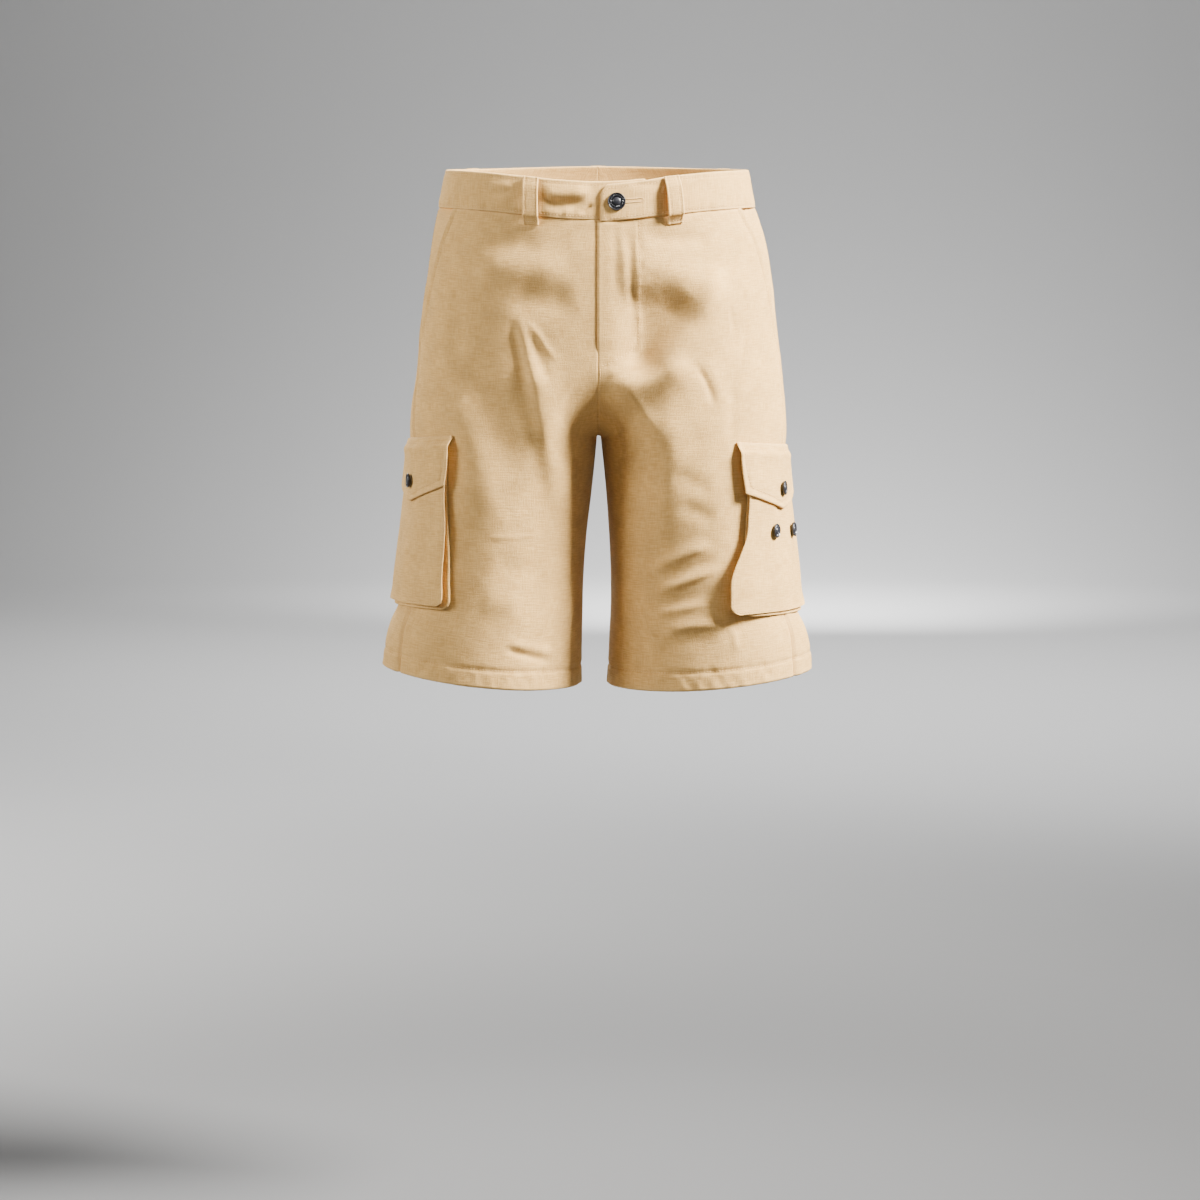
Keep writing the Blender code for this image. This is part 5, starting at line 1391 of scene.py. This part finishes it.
def seam_row(surface, place, pitch=PITCH):
    """The stitches of one seam. place gives the seam's points at a lift off the body."""
    near, far = place(GUIDE_NEAR), place(GUIDE_FAR)
    along = run_along(near)
    starts = np.arange(0.0, along[-1] - STITCH, pitch)
    at = starts[:, None] + np.array(STITCH_STATIONS) * STITCH
    guide = at_run(near, along, at)
    out = unit(at_run(far, along, at) - guide)
    stitches = []
    for points, ups in zip(guide, out):
        met = [
            surface.ray_cast(Vector(p + u * GUIDE_BACK), Vector(-u), 2.5 * GUIDE_BACK)[0]
            for p, u in zip(points, ups)
        ]
        if None in met:
            continue
        met = np.array([tuple(point) for point in met])
        if np.linalg.norm(np.diff(met, axis=0), axis=1).max() < STITCH:
            stitches.append((met + ups * STITCH_LIFTS, ups))
    return stitches


def thread_piece(name, courses, radius=THREAD):
    """A piece of joined lengths of thread, each a closed tube along its course."""
    turns = np.linspace(0.0, math.tau, THREAD_SIDES, endpoint=False)
    corners, faces = [], []
    for points, ups in courses:
        start = len(corners)
        ahead = unit(np.gradient(points, axis=0))
        aside = unit(np.cross(ahead, ups))
        up = np.cross(aside, ahead)
        for k, point in enumerate(points):
            thick = radius * (THREAD_END if k in (0, len(points) - 1) else 1.0)
            for turn in turns:
                corners.append(point + thick * (math.cos(turn) * aside[k] + math.sin(turn) * up[k]))
        ring = [start + i for i in range(THREAD_SIDES)]
        for _ in range(len(points) - 1):
            beyond = [i + THREAD_SIDES for i in ring]
            for i in range(THREAD_SIDES):
                j = (i + 1) % THREAD_SIDES
                faces.append((ring[i], ring[j], beyond[j], beyond[i]))
            ring = beyond
        faces.append(tuple(range(start, start + THREAD_SIDES))[::-1])
        faces.append(tuple(ring))
    mesh = bpy.data.meshes.new(name)
    mesh.from_pydata([tuple(c) for c in corners], [], faces)
    piece = finished(name, mesh, sand_thread)
    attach(piece, "root")


band_rows, body_rows, pocket_rows, loop_rows = [], [], [], []
# Each line of stitches keeps a distance from the edge or seam that it follows.
BAND_FOOT_LINE, LAP_LINE, LAP_LINE_DROPS = 0.0024, 0.0028, (-0.026, -0.001)
LAP_SET_BACK, CORNER_LINE, CORNER_REACH = 0.0030, 0.0045, 0.0040
BAND_ENDS, BAND_STEP, SEAM_END = (0.001, 0.002), 0.0020, 0.0040
MOUTH_LINES, SIDE_LINE, BACK_LINES = (0.0016, 0.0066), 0.0034, (0.0022, 0.0080)
CROTCH_LINE, CROTCH_LINE_DROPS, BACK_LINE_END = 0.0020, (0.152, 0.216), 0.2050
POCKET_LINE, FLAP_LINE_TOP = 0.0020, 0.0090
LOOP_LINE_DROPS, TACK_DROPS, TACK_HALF = (-0.0300, 0.0085), (-0.0325, 0.0070), 0.0060
for side, word in SIDES:
    band = surface_of(f"waistband_{word}_cloth")
    start = LAP_EDGE + LAP_SET_BACK if side == LEFT else BAND_ENDS[0]
    across = np.arange(start, float(along_row(side, "length", 0.0)) - BAND_ENDS[1], BAND_STEP)
    low = high = 0.0
    if side == LEFT:
        low, high = lap_sag(across, LAP_BOTTOM), lap_sag(across, LAP_TOP)
        high = high + CORNER_LINE * np.clip(1.0 - (across - start) / CORNER_REACH, 0.0, 1.0)
    for drop in (low - BAND_FOOT_LINE, high - BAND_HEIGHT + TOP_LINE):
        band_rows += seam_row(band, lambda lift: from_centre(across * side, drop, lift))
    if side == LEFT:
        down = np.linspace(*LAP_LINE_DROPS, 14)
        band_rows += seam_row(band, lambda lift: from_centre(LAP_EDGE + LAP_LINE, down, lift))

    front, back = surface_of(f"front_{word}_cloth"), surface_of(f"back_{word}_cloth")
    body = surface_of(f"front_{word}_cloth", f"back_{word}_cloth")
    down = np.linspace(SEAM_END, MOUTH_DROP - SEAM_END, 70)
    for inset in MOUTH_LINES:
        share = by_seam(side, -mouth_distance(down) - inset, down)
        body_rows += seam_row(front, lambda lift: on_skin(side, share, down, lift))
    down = np.linspace(SEAM_END, HEM_DROP - SEAM_END, 220)
    share = by_seam(side, SIDE_LINE, down)
    body_rows += seam_row(back, lambda lift: on_skin(side, share, down, lift))
    share = np.linspace(0.002, 0.998, 400)
    hem = HEM_DROP - HEM_DEPTH + HEM_LINE
    body_rows += seam_row(body, lambda lift: on_skin(side, share, hem, lift))
left_front, left_back = surface_of("front_left_cloth"), surface_of("back_left_cloth")
body_rows += seam_row(left_front, lambda lift: from_centre(*FLY_COURSE.T, lift))
down = np.linspace(*CROTCH_LINE_DROPS, 40)
body_rows += seam_row(left_front, lambda lift: from_centre(CROTCH_LINE, down, lift))
down = np.linspace(SEAM_END, BACK_LINE_END, 90)
for inset in BACK_LINES:
    body_rows += seam_row(left_back, lambda lift: from_centre(inset, down, lift, True))

for pocket, (_, word) in zip(pockets, SIDES):
    patch, flap = surface_of(f"cargo_pocket_{word}_cloth"), surface_of(f"cargo_flap_{word}_cloth")
    edge = pocket_outline(pocket, 1.0)
    edge = edge + beside(edge) * POCKET_LINE
    pocket_rows += seam_row(patch, lambda lift: on_pocket(pocket, *edge.T, lift))
    across = np.linspace(-FLAP_HALF + SEAM_END, FLAP_HALF - SEAM_END, 60)
    pocket_rows += seam_row(flap, lambda lift: on_pocket(pocket, across, FLAP_TOP_LINE, lift))
    half, tip = FLAP_HALF - FLAP_EDGE_LINE, FLAP_HALF - FLAP_TAPER - FLAP_EDGE_LINE
    side_end, point = FLAP_SIDE - FLAP_EDGE_LINE, FLAP_POINT - FLAP_EDGE_LINE
    course = evenly(np.array([
        (-half, FLAP_LINE_TOP), (-tip, side_end), (0.0, point), (tip, side_end),
        (half, FLAP_LINE_TOP),
    ]), 140)
    pocket_rows += seam_row(flap, lambda lift: on_pocket(pocket, *course.T, lift))

for loop in loops:
    strap = surface_of(f"{loop['name']}_cloth")
    down, width = np.linspace(*LOOP_LINE_DROPS, 40), np.linspace(-TACK_HALF, TACK_HALF, 12)
    lines = [(down, aside, PITCH) for aside in (-LOOP_LINE, LOOP_LINE)]
    lines += [(drop, width, TACK_PITCH) for drop in TACK_DROPS]
    for drop, aside, pitch in lines:
        across = loop_distance(loop, drop, aside)
        loop_rows += seam_row(
            strap, lambda lift: from_centre(across, drop, lift, loop["back"]), pitch,
        )

# The waist buttonhole: purl stitches round a narrow slit, and threads frayed from a belt loop.
HOLE_START, HOLE_LENGTH, HOLE_HALF, HOLE_PITCH, PURL = 0.0235, 0.0200, 0.0011, 0.00075, 0.0013
HOLE_DROP, PURL_THREAD = -0.0165, 0.00030
PURL_STATIONS = np.array([-0.2, 0.3, 0.7, 1.1])
PURL_LIFTS = np.array([-0.0003, 0.0002, 0.0002, -0.0003])[:, None]
left_band = surface_of("waistband_left_cloth")
straight, half_turn = HOLE_LENGTH - 2 * HOLE_HALF, math.pi * HOLE_HALF
along = np.arange(0.0, 2 * (straight + half_turn), HOLE_PITCH)
turned = np.clip(along - straight, 0, half_turn) / HOLE_HALF
turned = turned + np.clip(along - 2 * straight - half_turn, 0, None) / HOLE_HALF
run = np.clip(along, 0, straight) - np.clip(along - straight - half_turn, 0, straight)
hole_rows = []
for where, angle in zip(run, turned):
    reach = HOLE_HALF + PURL_STATIONS * PURL
    across = HOLE_START + HOLE_HALF + where + reach * math.sin(angle)
    drop = HOLE_DROP - reach * math.cos(angle)
    near = from_centre(across, drop, GUIDE_NEAR)
    out = unit(from_centre(across, drop, GUIDE_FAR) - near)
    met = [left_band.ray_cast(Vector(p + u * GUIDE_BACK), Vector(-u))[0] for p, u in zip(near, out)]
    hole_rows.append((np.array([tuple(point) for point in met]) + out * PURL_LIFTS, out))
thread_piece("waist_buttonhole", hole_rows, PURL_THREAD)
FRAYED_COUNT, FRAYED_THREAD = 9, 0.00013
FRAYED_ACROSS = loops[1]["distance"] - LOOP_WIDTH / 2 + 0.0008
FRAYED_DROP, FRAYED_LIFT, FRAYED_SINK = -0.0300, 0.0052, 0.0022
frayed = np.random.default_rng(71)
stray_rows = []
t = np.linspace(0.0, 1.0, 9)
for _ in range(FRAYED_COUNT):
    reach, fall, bow = frayed.uniform(0.0015, 0.0045), frayed.uniform(0.004, 0.011), frayed.normal()
    across = FRAYED_ACROSS - reach * np.sin(t * 2.2)
    drop = FRAYED_DROP + frayed.uniform(-0.001, 0.003) + fall * t + 0.0006 * bow * np.sin(5.0 * t)
    lift = FRAYED_LIFT - FRAYED_SINK * t + 0.0008 * bow * np.sin(3.0 * t)
    near = from_centre(across, drop, lift)
    stray_rows.append((near, unit(from_centre(across, drop, lift + 0.01) - near)))
thread_piece("loop_frayed_threads", stray_rows, FRAYED_THREAD)

thread_piece("waistband_stitches", band_rows)
thread_piece("body_stitches", body_rows)
thread_piece("pocket_stitches", pocket_rows)
thread_piece("loop_stitches", loop_rows)

bpy.context.view_layer.update()
